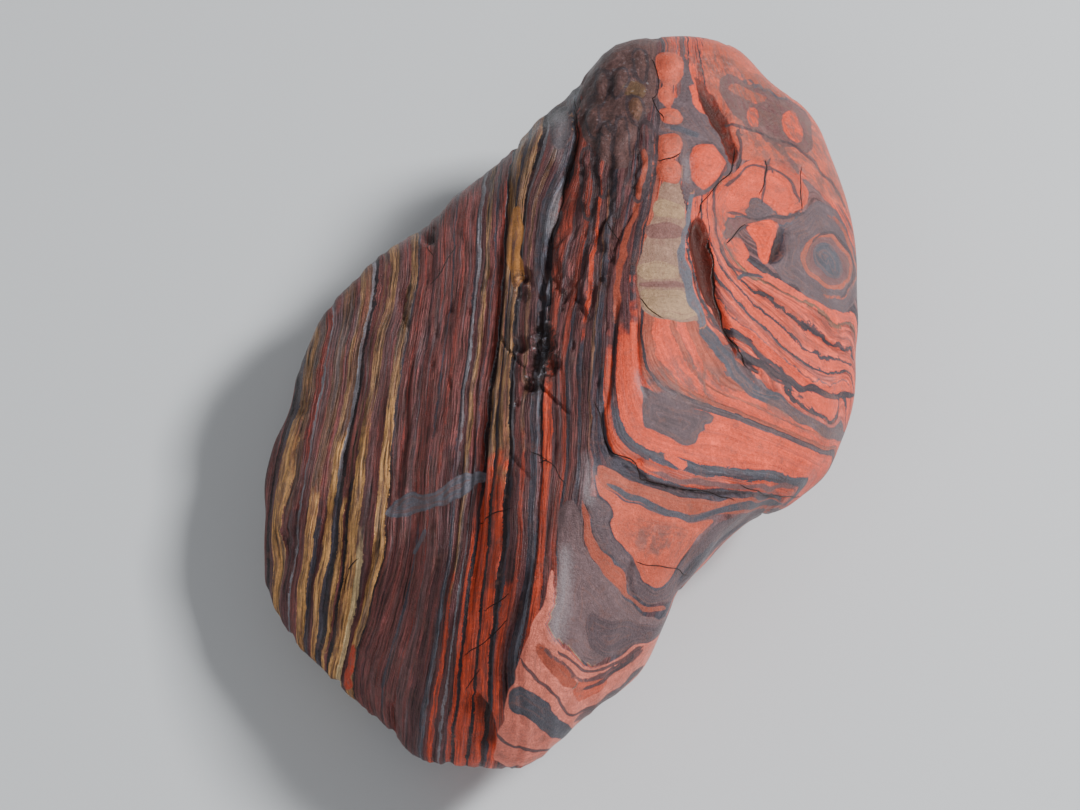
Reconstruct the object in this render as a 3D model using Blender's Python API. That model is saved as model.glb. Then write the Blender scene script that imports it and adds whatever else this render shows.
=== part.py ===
"""Banded ironstone: one water-worn cobble of red jasper, iron oxide and tiger-eye bands.

The stone is one solid. It starts as a convex block of named worn faces whose edges are
blended round. Its rim is then drawn in or out to the outline of the real stone, and the
furrows, gashes, ledges and pits of its weathered layers are pressed into it. It rests on
a small flat spot, on which the origin lies. The stone's length lies along Y, its worn
ridge is on top, the striped side falls away to -X and the red jasper side to +X.
"""
import math

import bmesh
import bpy
import numpy as np

# Driving dimensions, in millimetres and degrees
MILLIMETRE = 0.001
HEART = np.array([2.0, -2.0, 28.0])
EDGE_ROUNDING = 2.6
REST_DEPTH = 2.0
REST_MARGIN = 4.0
FAR_REACH = 120.0
HALVINGS = 40

# The outline and the surface marks are laid out on a slanting sheet through the stone,
# as a maker sees it from above and in front, and are carried to the surface along sight lines.
SHEET_TILT = 60.0
SHEET_CENTRE = np.array([-4.0, 0.0, 30.0])
SHEET_STEP = 0.18
SHEET_ZERO = (540.0, 405.0)
EYE_DISTANCE = 540.0

# Fineness of the mesh, and the tolerance of the cut that makes the resting flat
FINE_SUBDIVISIONS = 8
SOLID_TRIANGLES = 9400
CUT_TOLERANCE = 0.0005

# Colour of the stone, linear red, green, blue and opacity, and how dull its polish is
JASPER_COLOUR = (0.205, 0.052, 0.038, 1.0)
JASPER_ROUGHNESS = 0.42

# Worn faces: name, compass direction and tilt of the way the face looks, distance from the heart
WORN_FACES = (
    ("striped side", 165, 31, 22.4),
    ("striped side, low", 190, 46, 36.5),
    ("striped side, front", 208, 45, 35.2),
    ("red cheek, back", 15, 25, 35.4),
    ("red cheek, front", 340, 30, 35.2),
    ("red cheek, right", 0, 52, 44.5),
    ("head, crown", 40, 24, 41.0),
    ("head, top", 80, 58, 71.5),
    ("head, right", 30, 62, 66.0),
    ("head, far right", 35, 100, 71.0),
    ("right rim", 355, 76, 52.0),
    ("right rim, front", 332, 72, 47.0),
    ("flank", 314, 50, 39.8),
    ("flank, low", 302, 68, 46.0),
    ("foot, left", 225, 64, 51.5),
    ("foot, left wall", 228, 90, 54.5),
    ("foot, right", 297, 80, 52.0),
    ("foot, front", 265, 100, 69.5),
    ("left rim", 184, 76, 56.0),
    ("shoulder", 132, 62, 45.3),
    ("shoulder, high", 115, 66, 61.5),
    ("side, right", 0, 108, 52.0),
    ("side, back", 90, 105, 70.5),
    ("side, waist", 315, 98, 43.0),
    ("underside, right", 0, 142, 40.0),
    ("underside, back right", 50, 154, 39.0),
    ("underside, back", 95, 149, 40.0),
    ("underside, back left", 140, 135, 39.5),
    ("underside, left", 185, 150, 41.5),
    ("underside, front left", 230, 163, 36.0),
    ("underside, front", 270, 155, 39.0),
    ("underside, front right", 315, 129, 37.0),
)

# Broad hollows: name, middle, radius, depth
HOLLOWS = (
    ("waist", (31.0, -35.0, 24.0), 15.0, 4.5),
)

# Furrows, seams and cracks on the sheet: name, half width, depth, path
FURROWS = (
    ("upper gash", 1.15, 3.6,
     ((691, 68), (696, 82), (704, 97), (713, 112), (721, 127), (728, 145), (735, 163))),
    ("crack under the upper gash", 0.6, 1.2,
     ((737, 165), (725, 178), (715, 187), (703, 193), (699, 210))),
    ("lower gash", 1.3, 4.0,
     ((697, 220), (699, 245), (703, 265), (709, 287), (717, 312), (726, 333), (737, 357))),
    ("crack under the lower gash", 0.6, 1.2, ((735, 355), (745, 363), (762, 373))),
    ("notch by the eye", 0.95, 3.2, ((777, 225), (775, 240), (772, 255), (770, 266))),
    ("elbow groove", 0.95, 2.6,
     ((601, 400), (603, 420), (606, 440), (613, 455), (630, 462), (642, 474), (650, 484))),
    ("ledge groove", 0.7, 1.8,
     ((645, 483), (670, 488), (690, 491), (715, 497), (735, 494), (760, 495), (780, 499))),
    ("middle crack, head", 0.8, 2.2,
     ((571, 103), (575, 125), (572, 142), (563, 160), (561, 190), (560, 212))),
    ("middle crack", 0.75, 1.9,
     ((560, 205), (552, 235), (547, 262), (541, 294), (541, 320), (535, 350), (528, 375))),
    ("striped side seam, back", 0.7, 1.0,
     ((512, 160), (509, 200), (503, 240), (501, 290), (497, 330), (491, 390))),
    ("striped side seam, front", 0.7, 1.0,
     ((491, 390), (485, 440), (481, 490), (479, 540), (474, 580), (468, 620))),
    ("striped side seam, foot", 0.7, 1.0, ((468, 620), (462, 660), (458, 700), (455, 745))),
    ("yellow band slit", 0.6, 1.2, ((408, 283), (403, 300), (403, 318), (407, 328))),
    ("yellow band groove, left", 0.6, 1.0,
     ((351, 480), (347, 520), (343, 560), (344, 578), (338, 605), (325, 662))),
    ("yellow band groove, right", 0.6, 1.1,
     ((378, 532), (373, 555), (367, 580), (361, 605), (354, 630), (341, 685))),
    ("yellow band groove, outer", 0.6, 0.8,
     ((330, 490), (326, 520), (318, 545), (312, 580), (308, 610), (303, 655))),
    ("iron line", 0.6, 0.7,
     ((383, 258), (374, 300), (366, 335), (359, 370), (348, 430), (343, 460), (336, 490))),
    ("long groove", 0.6, 0.7,
     ((333, 318), (328, 350), (320, 380), (308, 440), (303, 475), (297, 520), (291, 560))),
    ("foot hollow", 1.7, 2.4, ((470, 695), (478, 710), (485, 728), (486, 750))),
    ("foot seam", 0.8, 1.2, ((530, 560), (523, 590), (517, 620), (511, 650), (505, 685), (500, 710))),
    ("seam by the ridge", 0.6, 0.9, ((617, 300), (613, 340), (610, 380), (605, 410))),
    ("head crack", 0.6, 1.3, ((638, 195), (632, 210), (622, 228), (615, 245), (603, 262), (600, 285))),
    ("ridge crack", 0.6, 0.9, ((637, 318), (637, 350), (640, 378), (647, 396))),
    ("iron layer, upper", 0.6, 0.7,
     ((742, 285), (770, 302), (790, 317), (815, 337), (832, 348), (853, 357))),
    ("iron layer, lower", 0.7, 0.8,
     ((735, 320), (760, 345), (780, 360), (800, 378), (815, 392), (850, 396))),
    ("slanting crack, upper", 0.5, 1.0, ((498, 333), (510, 352), (525, 369))),
    ("slanting crack, middle", 0.5, 1.0, ((536, 382), (552, 398), (570, 414))),
    ("slanting crack, lower", 0.5, 0.9, ((508, 450), (518, 465), (531, 480))),
    ("left rim crack", 0.5, 1.0, ((276, 525), (290, 548), (305, 568))),
    ("flank crack", 0.5, 0.9, ((633, 562), (629, 580), (634, 600))),
    ("lower rim slit", 0.6, 1.2, ((391, 703), (393, 720), (398, 740))),
)

# How a furrow's wall slopes, against its half width, and how furrows fade toward their ends
FURROW_WALL = 1.4
FURROW_FADE = 8.0
FURROW_END = 0.25

# Ledges on the sheet: name, drop, reach, path with the lower ground on its right hand
LEDGES = (
    ("shoulder step", 2.4, 5.0, ((573, 98), (560, 108), (545, 118), (530, 130), (514, 150))),
    ("middle crack step", 1.3, 5.0, ((552, 235), (561, 212), (563, 161), (573, 141), (571, 114))),
    ("elbow ledge", 1.5, 8.0,
     ((601, 400), (606, 440), (613, 455), (645, 480), (690, 490), (735, 494), (788, 503))),
    ("tiger-eye ledge", 0.8, 4.0,
     ((509, 200), (503, 240), (501, 290), (497, 330), (491, 390), (481, 490), (479, 540))),
    ("yellow ledge", 0.7, 3.0,
     ((378, 532), (373, 555), (367, 580), (361, 605), (354, 630), (341, 685))),
)

# How ledges fade toward their ends, and the width of their lip
LEDGE_FADE = 5.0
LEDGE_LIP = 0.5

# Pits on the sheet: middle, radius, depth
PITS = (
    ((612, 72), 1.0, 0.9), ((609, 90), 1.0, 0.9), ((598, 99), 1.0, 1.0), ((604, 117), 1.0, 0.8),
    ((590, 135), 1.1, 0.9), ((637, 132), 0.8, 0.8), ((635, 190), 1.0, 1.2), ((627, 187), 0.8, 0.8),
    ((520, 345), 1.6, 1.2), ((533, 360), 1.8, 1.6), ((548, 345), 1.6, 1.3), ((540, 330), 1.5, 1.2),
    ((530, 385), 1.6, 1.4), ((552, 362), 1.4, 1.1), ((524, 275), 1.4, 1.3), ((545, 300), 1.2, 1.0),
    ((642, 465), 1.2, 2.2), ((643, 478), 1.0, 2.0), ((300, 410), 1.1, 1.2), ((427, 236), 1.6, 1.8),
)

# How far a face must look up from the sheet to bear marks
SEEN_FROM = 0.1
SEEN_OVER = 0.25

# Layer seams round the unseen side: they lie where the stone's upright layers reach the surface
LAYER_DIRECTION = np.array([0.995, -0.082, -0.060])
LAYER_SEAMS = (-46.0, -36.5, -27.0, -15.0, -4.0, 9.0, 22.0, 36.0)
SEAM_HALF_WIDTH = 0.9
SEAM_DEPTH = 0.8
SEAM_SWAY = 1.6

# Gentle swell of the worn faces
SWELL_HEIGHT = 0.28
SWELL_WAVES = 14
SWELL_LENGTHS = (9.0, 26.0)
SWELL_SEED = 4

# Outline of the stone on the sheet, clockwise from the top of the head
OUTLINE = (
    (690, 34), (720, 40), (740, 48), (757, 68), (775, 85), (800, 105), (820, 130), (838, 174),
    (848, 205), (854, 237), (859, 280), (857, 325), (853, 353), (854, 379), (852, 404), (846, 429),
    (836, 452), (825, 474), (804, 491), (786, 507), (759, 516), (726, 540), (700, 566), (674, 595),
    (666, 624), (654, 651), (637, 677), (616, 697), (591, 714), (564, 743), (533, 759), (500, 765),
    (482, 766), (440, 762), (414, 757), (393, 739), (360, 703), (336, 681), (319, 661), (296, 646),
    (281, 621), (266, 586), (264, 570), (267, 512), (264, 484), (269, 456), (288, 404), (302, 358),
    (322, 316), (353, 282), (384, 253), (417, 229), (434, 218), (447, 201), (482, 180), (500, 165),
    (518, 141), (539, 117), (564, 102), (571, 95), (594, 61), (610, 48), (645, 37), (662, 36),
)
OUTLINE_CENTRE = (564.0, 404.0)

# How the rim is drawn to the outline: a broad pull that reaches far in, and a narrow one near the rim
OUTLINE_STEPS = 360
BROAD_PULL = 2.0
NARROW_PULL = 10.0
BROAD_STEPS = 14
NARROW_STEPS = 1.8


def sheet_axes():
    """Return the sheet's right, up and outward directions."""
    tilt = math.radians(SHEET_TILT)
    right = np.array([1.0, 0.0, 0.0])
    up = np.array([0.0, math.sin(tilt), math.cos(tilt)])
    outward = np.array([0.0, -math.cos(tilt), math.sin(tilt)])
    return right, up, outward


def on_sheet(points):
    """Carry points along their sight lines to the sheet, and return them with their heights off it."""
    right, up, outward = sheet_axes()
    offsets = points - SHEET_CENTRE
    heights = offsets @ outward
    scale = EYE_DISTANCE / (EYE_DISTANCE - heights)
    return np.stack([offsets @ right * scale, offsets @ up * scale], axis=1), heights


def marks_on_sheet(marks):
    """Turn marks read in sheet steps into millimetres on the sheet."""
    marks = np.array(marks, dtype=float)
    return (marks - SHEET_ZERO) * (SHEET_STEP, -SHEET_STEP)


def face_directions():
    """Return the way each worn face looks and its distance from the heart."""
    directions = []
    for name, compass, tilt, distance in WORN_FACES:
        turn = math.radians(compass)
        lean = math.radians(tilt)
        directions.append((math.sin(lean) * math.cos(turn), math.sin(lean) * math.sin(turn), math.cos(lean)))
    directions.append((0.0, 0.0, -1.0))
    distances = [distance for name, compass, tilt, distance in WORN_FACES]
    distances.append(HEART[2] + REST_DEPTH)
    return np.array(directions), np.array(distances)


def blended_block(rays):
    """Follow rays from the heart to the block of worn faces with blended edges."""
    directions, distances = face_directions()
    slopes = rays @ directions.T
    near = np.zeros(len(rays))
    far = np.full(len(rays), FAR_REACH)
    for halving in range(HALVINGS):
        middle = (near + far) / 2
        depths = (slopes * middle[:, None] - distances) / EDGE_ROUNDING
        highest = depths.max(axis=1)
        inside = highest + np.log(np.exp(depths - highest[:, None]).sum(axis=1)) < 0
        near = np.where(inside, middle, near)
        far = np.where(inside, far, middle)
    depths = (slopes * near[:, None] - distances) / EDGE_ROUNDING
    weights = np.exp(depths - depths.max(axis=1)[:, None])
    normals = weights @ directions
    normals /= np.linalg.norm(normals, axis=1)[:, None]
    return HEART + rays * near[:, None], normals


def press_hollows(points, normals):
    """Press the broad hollows into the block."""
    for name, middle, radius, depth in HOLLOWS:
        away = np.linalg.norm(points - middle, axis=1) / radius
        points = points - normals * (depth * np.exp(-(away ** 2)))[:, None]
    return points


def eased(values):
    """Ease values from 0 to 1 with level ends."""
    values = np.clip(values, 0, 1)
    return values * values * (3 - 2 * values)


def above_rest(points):
    """Return 0 on the resting underside, easing to 1 a little above it."""
    return eased(points[:, 2] / REST_MARGIN)


def swell(points):
    """Return the gentle rise and fall of the worn faces, as a sum of long slanting waves."""
    draws = np.random.default_rng(SWELL_SEED)
    total = np.zeros(len(points))
    for wave in range(SWELL_WAVES):
        heading = draws.normal(size=3)
        heading /= np.linalg.norm(heading)
        length = draws.uniform(*SWELL_LENGTHS)
        phase = draws.uniform(0, math.tau)
        total += np.sin(points @ heading / length * math.tau + phase)
    return total * SWELL_HEIGHT / math.sqrt(SWELL_WAVES / 2)


def along_path(flat, path):
    """Return each point's distance from a path, its side of it, and how far along it lies, 0 to 1."""
    corners = marks_on_sheet(path)
    lengths = np.hypot(*(corners[1:] - corners[:-1]).T)
    starts = np.concatenate([[0.0], np.cumsum(lengths)])
    nearest = np.full(len(flat), np.inf)
    side = np.zeros(len(flat))
    along = np.zeros(len(flat))
    for number, (start, end) in enumerate(zip(corners[:-1], corners[1:])):
        course = (end - start) / lengths[number]
        offsets = flat - start
        travel = np.clip(offsets @ course, 0, lengths[number])
        away = np.hypot(*(offsets - travel[:, None] * course).T)
        closer = away < nearest
        nearest = np.where(closer, away, nearest)
        side = np.where(closer, course[1] * offsets[:, 0] - course[0] * offsets[:, 1], side)
        along = np.where(closer, starts[number] + travel, along)
    return nearest, side, along / starts[-1]


def seen_share(normals):
    """Return 1 where the surface looks up from the sheet, easing to 0 where it looks away."""
    right, up, outward = sheet_axes()
    return eased((normals @ outward - SEEN_FROM) / SEEN_OVER)


def press_seams(points, normals, rise):
    """Press the layer seams into the unseen side of the stone, swaying with the swell."""
    layer = points @ LAYER_DIRECTION + rise * SEAM_SWAY
    away = np.abs(layer[:, None] - LAYER_SEAMS).min(axis=1)
    depth = SEAM_DEPTH * (1 - eased(away / SEAM_HALF_WIDTH)) * above_rest(points)
    return points - normals * (depth * (1 - seen_share(normals)))[:, None]


def press_marks(points, normals):
    """Press the furrows, ledges and pits into the seen side of the stone."""
    flat, heights = on_sheet(points)
    depth = np.zeros(len(points))
    for name, half_width, deepest, path in FURROWS:
        away, side, along = along_path(flat, path)
        fade = eased(np.minimum(along, 1 - along) * FURROW_FADE + FURROW_END)
        depth = np.maximum(depth, deepest * fade * (1 - eased(away / half_width / FURROW_WALL)))
    for name, drop, reach, path in LEDGES:
        away, side, along = along_path(flat, path)
        fade = eased(np.minimum(along, 1 - along) * LEDGE_FADE)
        depth += drop * fade * np.exp(-away / reach) * eased(side / LEDGE_LIP + 0.5)
    for middle, radius, deepest in PITS:
        away = np.hypot(*(flat - marks_on_sheet(middle)).T) / radius
        depth = np.maximum(depth, deepest * (1 - eased(away / FURROW_WALL)))
    return points - normals * (depth * seen_share(normals))[:, None]


def blurred(values, steps):
    """Blur values that run round the outline over so many steps."""
    spread = np.arange(-int(3 * steps), int(3 * steps) + 1)
    weights = np.exp(-((spread / steps) ** 2) / 2)
    return sum(weight * np.roll(values, step) for weight, step in zip(weights / weights.sum(), spread))


def draw_to_outline(points):
    """Draw the rim in or out, across the sight lines, until the block fills the stone's outline."""
    right, up, outward = sheet_axes()
    centre = marks_on_sheet(OUTLINE_CENTRE)
    flat, heights = on_sheet(points)
    offsets = flat - centre
    turns = np.arctan2(offsets[:, 1], offsets[:, 0]) % math.tau
    reaches = np.hypot(offsets[:, 0], offsets[:, 1])

    steps = (turns / math.tau * OUTLINE_STEPS).astype(int) % OUTLINE_STEPS
    block_reach = np.zeros(OUTLINE_STEPS)
    np.maximum.at(block_reach, steps, reaches)
    step_turns = (np.arange(OUTLINE_STEPS) + 0.5) / OUTLINE_STEPS * math.tau
    outline = marks_on_sheet(OUTLINE) - centre
    outline_turns = np.arctan2(outline[:, 1], outline[:, 0]) % math.tau
    outline_reach = np.hypot(outline[:, 0], outline[:, 1])
    pull = np.interp(step_turns, outline_turns, outline_reach, period=math.tau) / block_reach - 1

    narrow = blurred(pull, NARROW_STEPS)
    broad = blurred(pull, BROAD_STEPS)
    broad_pull = np.interp(turns, step_turns, broad, period=math.tau)
    narrow_pull = np.interp(turns, step_turns, narrow - broad, period=math.tau)
    share = np.minimum(reaches / np.interp(turns, step_turns, block_reach, period=math.tau), 1)
    pull = broad_pull * share ** BROAD_PULL + narrow_pull * share ** NARROW_PULL
    shift = offsets * (pull * (EYE_DISTANCE - heights) / EYE_DISTANCE)[:, None]
    return points + shift[:, :1] * right + shift[:, 1:] * up


def make_fine_stone():
    """Make the stone's fine mesh from a ball of rays."""
    ball = bmesh.new()
    bmesh.ops.create_icosphere(ball, subdivisions=FINE_SUBDIVISIONS, radius=1.0)
    rays = np.array([vertex.co[:] for vertex in ball.verts])
    rays /= np.linalg.norm(rays, axis=1)[:, None]
    points, normals = blended_block(rays)
    points = press_hollows(points, normals)
    points = draw_to_outline(points)
    rise = swell(points) * above_rest(points)
    points = points + normals * rise[:, None]
    points = press_seams(points, normals, rise)
    points = press_marks(points, normals)
    for vertex, point in zip(ball.verts, points):
        vertex.co = point * MILLIMETRE
    mesh = bpy.data.meshes.new("fine stone")
    ball.to_mesh(mesh)
    ball.free()
    return mesh


def thinned(fine_mesh, collection):
    """Return a lighter mesh with few triangles where the stone is plain and more along its marks."""
    guide = bpy.data.objects.new("fine stone", fine_mesh)
    collection.objects.link(guide)
    thinning = guide.modifiers.new("Thinning", "DECIMATE")
    thinning.ratio = SOLID_TRIANGLES / len(fine_mesh.polygons)
    evaluated = guide.evaluated_get(bpy.context.evaluated_depsgraph_get())
    light_mesh = bpy.data.meshes.new_from_object(evaluated)
    bpy.data.objects.remove(guide, do_unlink=True)
    return light_mesh


def wear_resting_flat(mesh):
    """Wear the underside flat at the origin's height, so that the stone rests on a small flat spot."""
    stone = bmesh.new()
    stone.from_mesh(mesh)
    bmesh.ops.bisect_plane(
        stone,
        geom=stone.verts[:] + stone.edges[:] + stone.faces[:],
        dist=CUT_TOLERANCE * MILLIMETRE,
        plane_co=(0, 0, 0),
        plane_no=(0, 0, -1),
        clear_outer=True,
    )
    rim = [edge for edge in stone.edges if edge.is_boundary]
    bmesh.ops.triangle_fill(stone, use_beauty=True, edges=rim)
    bmesh.ops.triangulate(stone, faces=[face for face in stone.faces if len(face.verts) > 3])
    bmesh.ops.recalc_face_normals(stone, faces=stone.faces[:])
    stone.to_mesh(mesh)
    stone.free()


def ironstone_material():
    """Return the stone's plain material: waxy, dark red iron jasper."""
    material = bpy.data.materials.new("Iron jasper")
    material.use_nodes = True
    shader = material.node_tree.nodes["Principled BSDF"]
    shader.inputs["Base Color"].default_value = JASPER_COLOUR
    shader.inputs["Roughness"].default_value = JASPER_ROUGHNESS
    return material


def main():
    """Clear the scene and build the stone."""
    for old in list(bpy.data.objects):
        bpy.data.objects.remove(old, do_unlink=True)
    collection = bpy.data.collections.new("Banded ironstone")
    bpy.context.scene.collection.children.link(collection)
    mesh = thinned(make_fine_stone(), collection)
    mesh.name = "banded_ironstone"
    wear_resting_flat(mesh)
    mesh.materials.append(ironstone_material())
    stone = bpy.data.objects.new("banded_ironstone", mesh)
    collection.objects.link(stone)


main()
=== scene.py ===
# %% [markdown]
# # A water-worn cobble of banded ironstone
# This lesson dresses one stone. It is a cobble of jasper, iron oxide and tiger-eye that a river has
# rounded, so its layers come out as stripes on one side and as loops and lenses on the other. A stone
# could be painted on a smooth lump, but here the layers are laid through the body first, and colour,
# gloss and relief all read from them. That way they bend and pinch together, as they do in the rock.

# %% Open the frame
import math

import bmesh
import bpy
import numpy as np
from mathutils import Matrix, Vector


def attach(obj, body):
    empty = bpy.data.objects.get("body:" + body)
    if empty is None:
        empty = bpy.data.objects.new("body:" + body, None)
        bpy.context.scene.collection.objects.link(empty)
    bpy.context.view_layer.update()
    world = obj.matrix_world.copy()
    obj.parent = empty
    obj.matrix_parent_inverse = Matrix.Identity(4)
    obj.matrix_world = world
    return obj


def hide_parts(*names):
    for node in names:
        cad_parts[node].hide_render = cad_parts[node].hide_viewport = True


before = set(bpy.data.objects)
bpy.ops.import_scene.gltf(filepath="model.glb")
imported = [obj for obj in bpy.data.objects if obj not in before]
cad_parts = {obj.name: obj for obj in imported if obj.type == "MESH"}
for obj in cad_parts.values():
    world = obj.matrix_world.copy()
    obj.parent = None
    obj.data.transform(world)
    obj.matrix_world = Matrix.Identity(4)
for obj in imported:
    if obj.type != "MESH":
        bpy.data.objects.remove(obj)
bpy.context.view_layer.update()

MILLIMETRE = 0.001

# %% [markdown]
# ## The slanting sheet
# A stone has no straight edge to measure from. Its outline and its markings are therefore laid out on a
# sheet that slants through its middle and faces a maker who looks down on it from the front. Every mark
# is a pair of sheet steps, right and down, and it is carried to the surface along the line of sight.

# %% Lay out the sheet
SHEET_TILT = 60.0
SHEET_CENTRE = np.array([-4.0, 0.0, 30.0])
SHEET_STEP = 0.18
SHEET_ZERO = (540.0, 405.0)
EYE_DISTANCE = 540.0
TILT = math.radians(SHEET_TILT)
RIGHT = np.array([1.0, 0.0, 0.0])
UP = np.array([0.0, math.sin(TILT), math.cos(TILT)])
OUTWARD = np.array([0.0, -math.cos(TILT), math.sin(TILT)])


def on_sheet(points):
    """Carry points along their sight lines to the sheet, and return them with their heights off it."""
    offsets = points - SHEET_CENTRE
    heights = offsets @ OUTWARD
    scale = EYE_DISTANCE / (EYE_DISTANCE - heights)
    return np.stack([offsets @ RIGHT * scale, offsets @ UP * scale], axis=1), heights


def marks_on_sheet(marks):
    """Turn marks in sheet steps into millimetres on the sheet."""
    return (np.array(marks, dtype=float) - SHEET_ZERO) * (SHEET_STEP, -SHEET_STEP)


def eased(values):
    """Ease values from 0 to 1 with level ends."""
    values = np.clip(values, 0, 1)
    return values * values * (3 - 2 * values)


print("the sheet faces", OUTWARD.round(3))

# %% [markdown]
# ## The worn faces
# A river cobble is a block whose faces were ground nearly flat and whose edges were rounded. Each face
# is given by the way it looks and by how far it lies from the stone's heart. Rays go out from the heart,
# and each stops where it meets the faces. A soft maximum instead of the plain one rounds all edges at
# once, and the surface needs no modelling by hand.

# %% Name the worn faces
HEART = np.array([2.0, -2.0, 28.0])
EDGE_ROUNDING = 2.6
REST_DEPTH = 2.0
WORN_FACES = (
    ("striped side", 165, 31, 22.4),
    ("striped side, low", 190, 46, 36.5),
    ("striped side, front", 208, 45, 35.2),
    ("red cheek, back", 15, 25, 35.4),
    ("red cheek, front", 340, 30, 35.2),
    ("red cheek, right", 0, 52, 44.5),
    ("head, crown", 40, 24, 41.0),
    ("head, top", 80, 58, 71.5),
    ("head, right", 30, 62, 66.0),
    ("head, far right", 35, 100, 71.0),
    ("right rim", 355, 76, 52.0),
    ("right rim, front", 332, 72, 47.0),
    ("flank", 314, 50, 39.8),
    ("flank, low", 302, 68, 46.0),
    ("foot, left", 225, 64, 51.5),
    ("foot, left wall", 228, 90, 54.5),
    ("foot, right", 297, 80, 52.0),
    ("foot, front", 265, 100, 69.5),
    ("left rim", 184, 76, 56.0),
    ("shoulder", 132, 62, 45.3),
    ("shoulder, high", 115, 66, 61.5),
    ("side, right", 0, 108, 52.0),
    ("side, back", 90, 105, 70.5),
    ("side, waist", 315, 98, 43.0),
    ("underside, right", 0, 142, 40.0),
    ("underside, back right", 50, 154, 39.0),
    ("underside, back", 95, 149, 40.0),
    ("underside, back left", 140, 135, 39.5),
    ("underside, left", 185, 150, 41.5),
    ("underside, front left", 230, 163, 36.0),
    ("underside, front", 270, 155, 39.0),
    ("underside, front right", 315, 129, 37.0),
)


def face_directions():
    """Return the way each worn face looks and its distance from the heart."""
    directions = []
    for name, compass, tilt, distance in WORN_FACES:
        turn = math.radians(compass)
        lean = math.radians(tilt)
        aside = math.sin(lean)
        directions.append((aside * math.cos(turn), aside * math.sin(turn), math.cos(lean)))
    directions.append((0.0, 0.0, -1.0))
    distances = [distance for name, compass, tilt, distance in WORN_FACES]
    distances.append(HEART[2] + REST_DEPTH)
    return np.array(directions), np.array(distances)


print(len(WORN_FACES), "worn faces and the resting one")

# %% [markdown]
# ## A fine ball of rays
# Fine cracks need small triangles, and the side with the markings needs the most of them. A ball is cut
# finely and its directions are then leaned a little toward the marked side, so that they crowd there.

# %% Follow the rays to the block
BALL_SUBDIVISIONS = 4
BALL_CUTS = 11
LEAN = 0.32
FAR_REACH = 120.0
HALVINGS = 32


def make_rays():
    """Make a ball whose points crowd toward the marked side, and return it with its directions."""
    ball = bmesh.new()
    bmesh.ops.create_icosphere(ball, subdivisions=BALL_SUBDIVISIONS, radius=1.0)
    bmesh.ops.subdivide_edges(ball, edges=ball.edges[:], cuts=BALL_CUTS, use_grid_fill=True)
    rays = np.array([vertex.co[:] for vertex in ball.verts])
    rays /= np.linalg.norm(rays, axis=1)[:, None]
    rays += OUTWARD * LEAN
    rays /= np.linalg.norm(rays, axis=1)[:, None]
    return ball, rays


def blended_block(rays):
    """Follow rays from the heart to the block of worn faces with blended edges."""
    directions, distances = face_directions()
    slopes = rays @ directions.T
    near = np.zeros(len(rays))
    far = np.full(len(rays), FAR_REACH)
    for halving in range(HALVINGS):
        middle = (near + far) / 2
        depths = (slopes * middle[:, None] - distances) / EDGE_ROUNDING
        highest = depths.max(axis=1)
        inside = highest + np.log(np.exp(depths - highest[:, None]).sum(axis=1)) < 0
        near = np.where(inside, middle, near)
        far = np.where(inside, far, middle)
    depths = (slopes * near[:, None] - distances) / EDGE_ROUNDING
    weights = np.exp(depths - depths.max(axis=1)[:, None])
    normals = weights @ directions
    normals /= np.linalg.norm(normals, axis=1)[:, None]
    return HEART + rays * near[:, None], normals


ball, rays = make_rays()
points, normals = blended_block(rays)
print(len(points), "surface points,", len(ball.faces), "triangles")

# %% [markdown]
# ## The waist and the outline
# Seen from above the stone has a waist and a big head. One broad hollow makes the waist. The rim is then
# drawn in or out, across the line of sight, until it fills the outline. The broad part of that pull
# reaches far in over the faces and the narrow part stays near the rim, so that small bumps in the
# outline don't run up the stone as pleats.

# %% Draw the rim to the outline
WAIST_MIDDLE = (31.0, -35.0, 24.0)
WAIST_RADIUS = 15.0
WAIST_DEPTH = 4.5
OUTLINE = (
    (690, 34), (720, 40), (740, 48), (757, 68), (775, 85), (800, 105), (820, 130), (838, 174), (848, 205),
    (854, 237), (859, 280), (857, 325), (853, 353), (854, 379), (852, 404), (846, 429), (836, 452),
    (825, 474), (804, 491), (786, 507), (759, 516), (726, 540), (700, 566), (674, 595), (666, 624),
    (654, 651), (637, 677), (616, 697), (591, 714), (564, 743), (533, 759), (500, 765), (482, 766),
    (440, 762), (414, 757), (393, 739), (360, 703), (336, 681), (319, 661), (296, 646), (281, 621),
    (266, 586), (264, 570), (267, 512), (264, 484), (269, 456), (288, 404), (302, 358), (322, 316),
    (353, 282), (384, 253), (417, 229), (434, 218), (447, 201), (482, 180), (500, 165), (518, 141),
    (539, 117), (564, 102), (571, 95), (594, 61), (610, 48), (645, 37), (662, 36),
)
OUTLINE_CENTRE = (564.0, 404.0)
OUTLINE_STEPS = 360
BROAD_PULL = 2.0
NARROW_PULL = 10.0
BROAD_STEPS = 14
NARROW_STEPS = 1.8
BLUR_REACH = 3


def blurred(values, steps):
    """Blur values that run round the outline over so many steps."""
    reach = int(BLUR_REACH * steps)
    spread = np.arange(-reach, reach + 1)
    weights = np.exp(-((spread / steps) ** 2) / 2)
    return sum(weight * np.roll(values, step) for weight, step in zip(weights / weights.sum(), spread))


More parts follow.
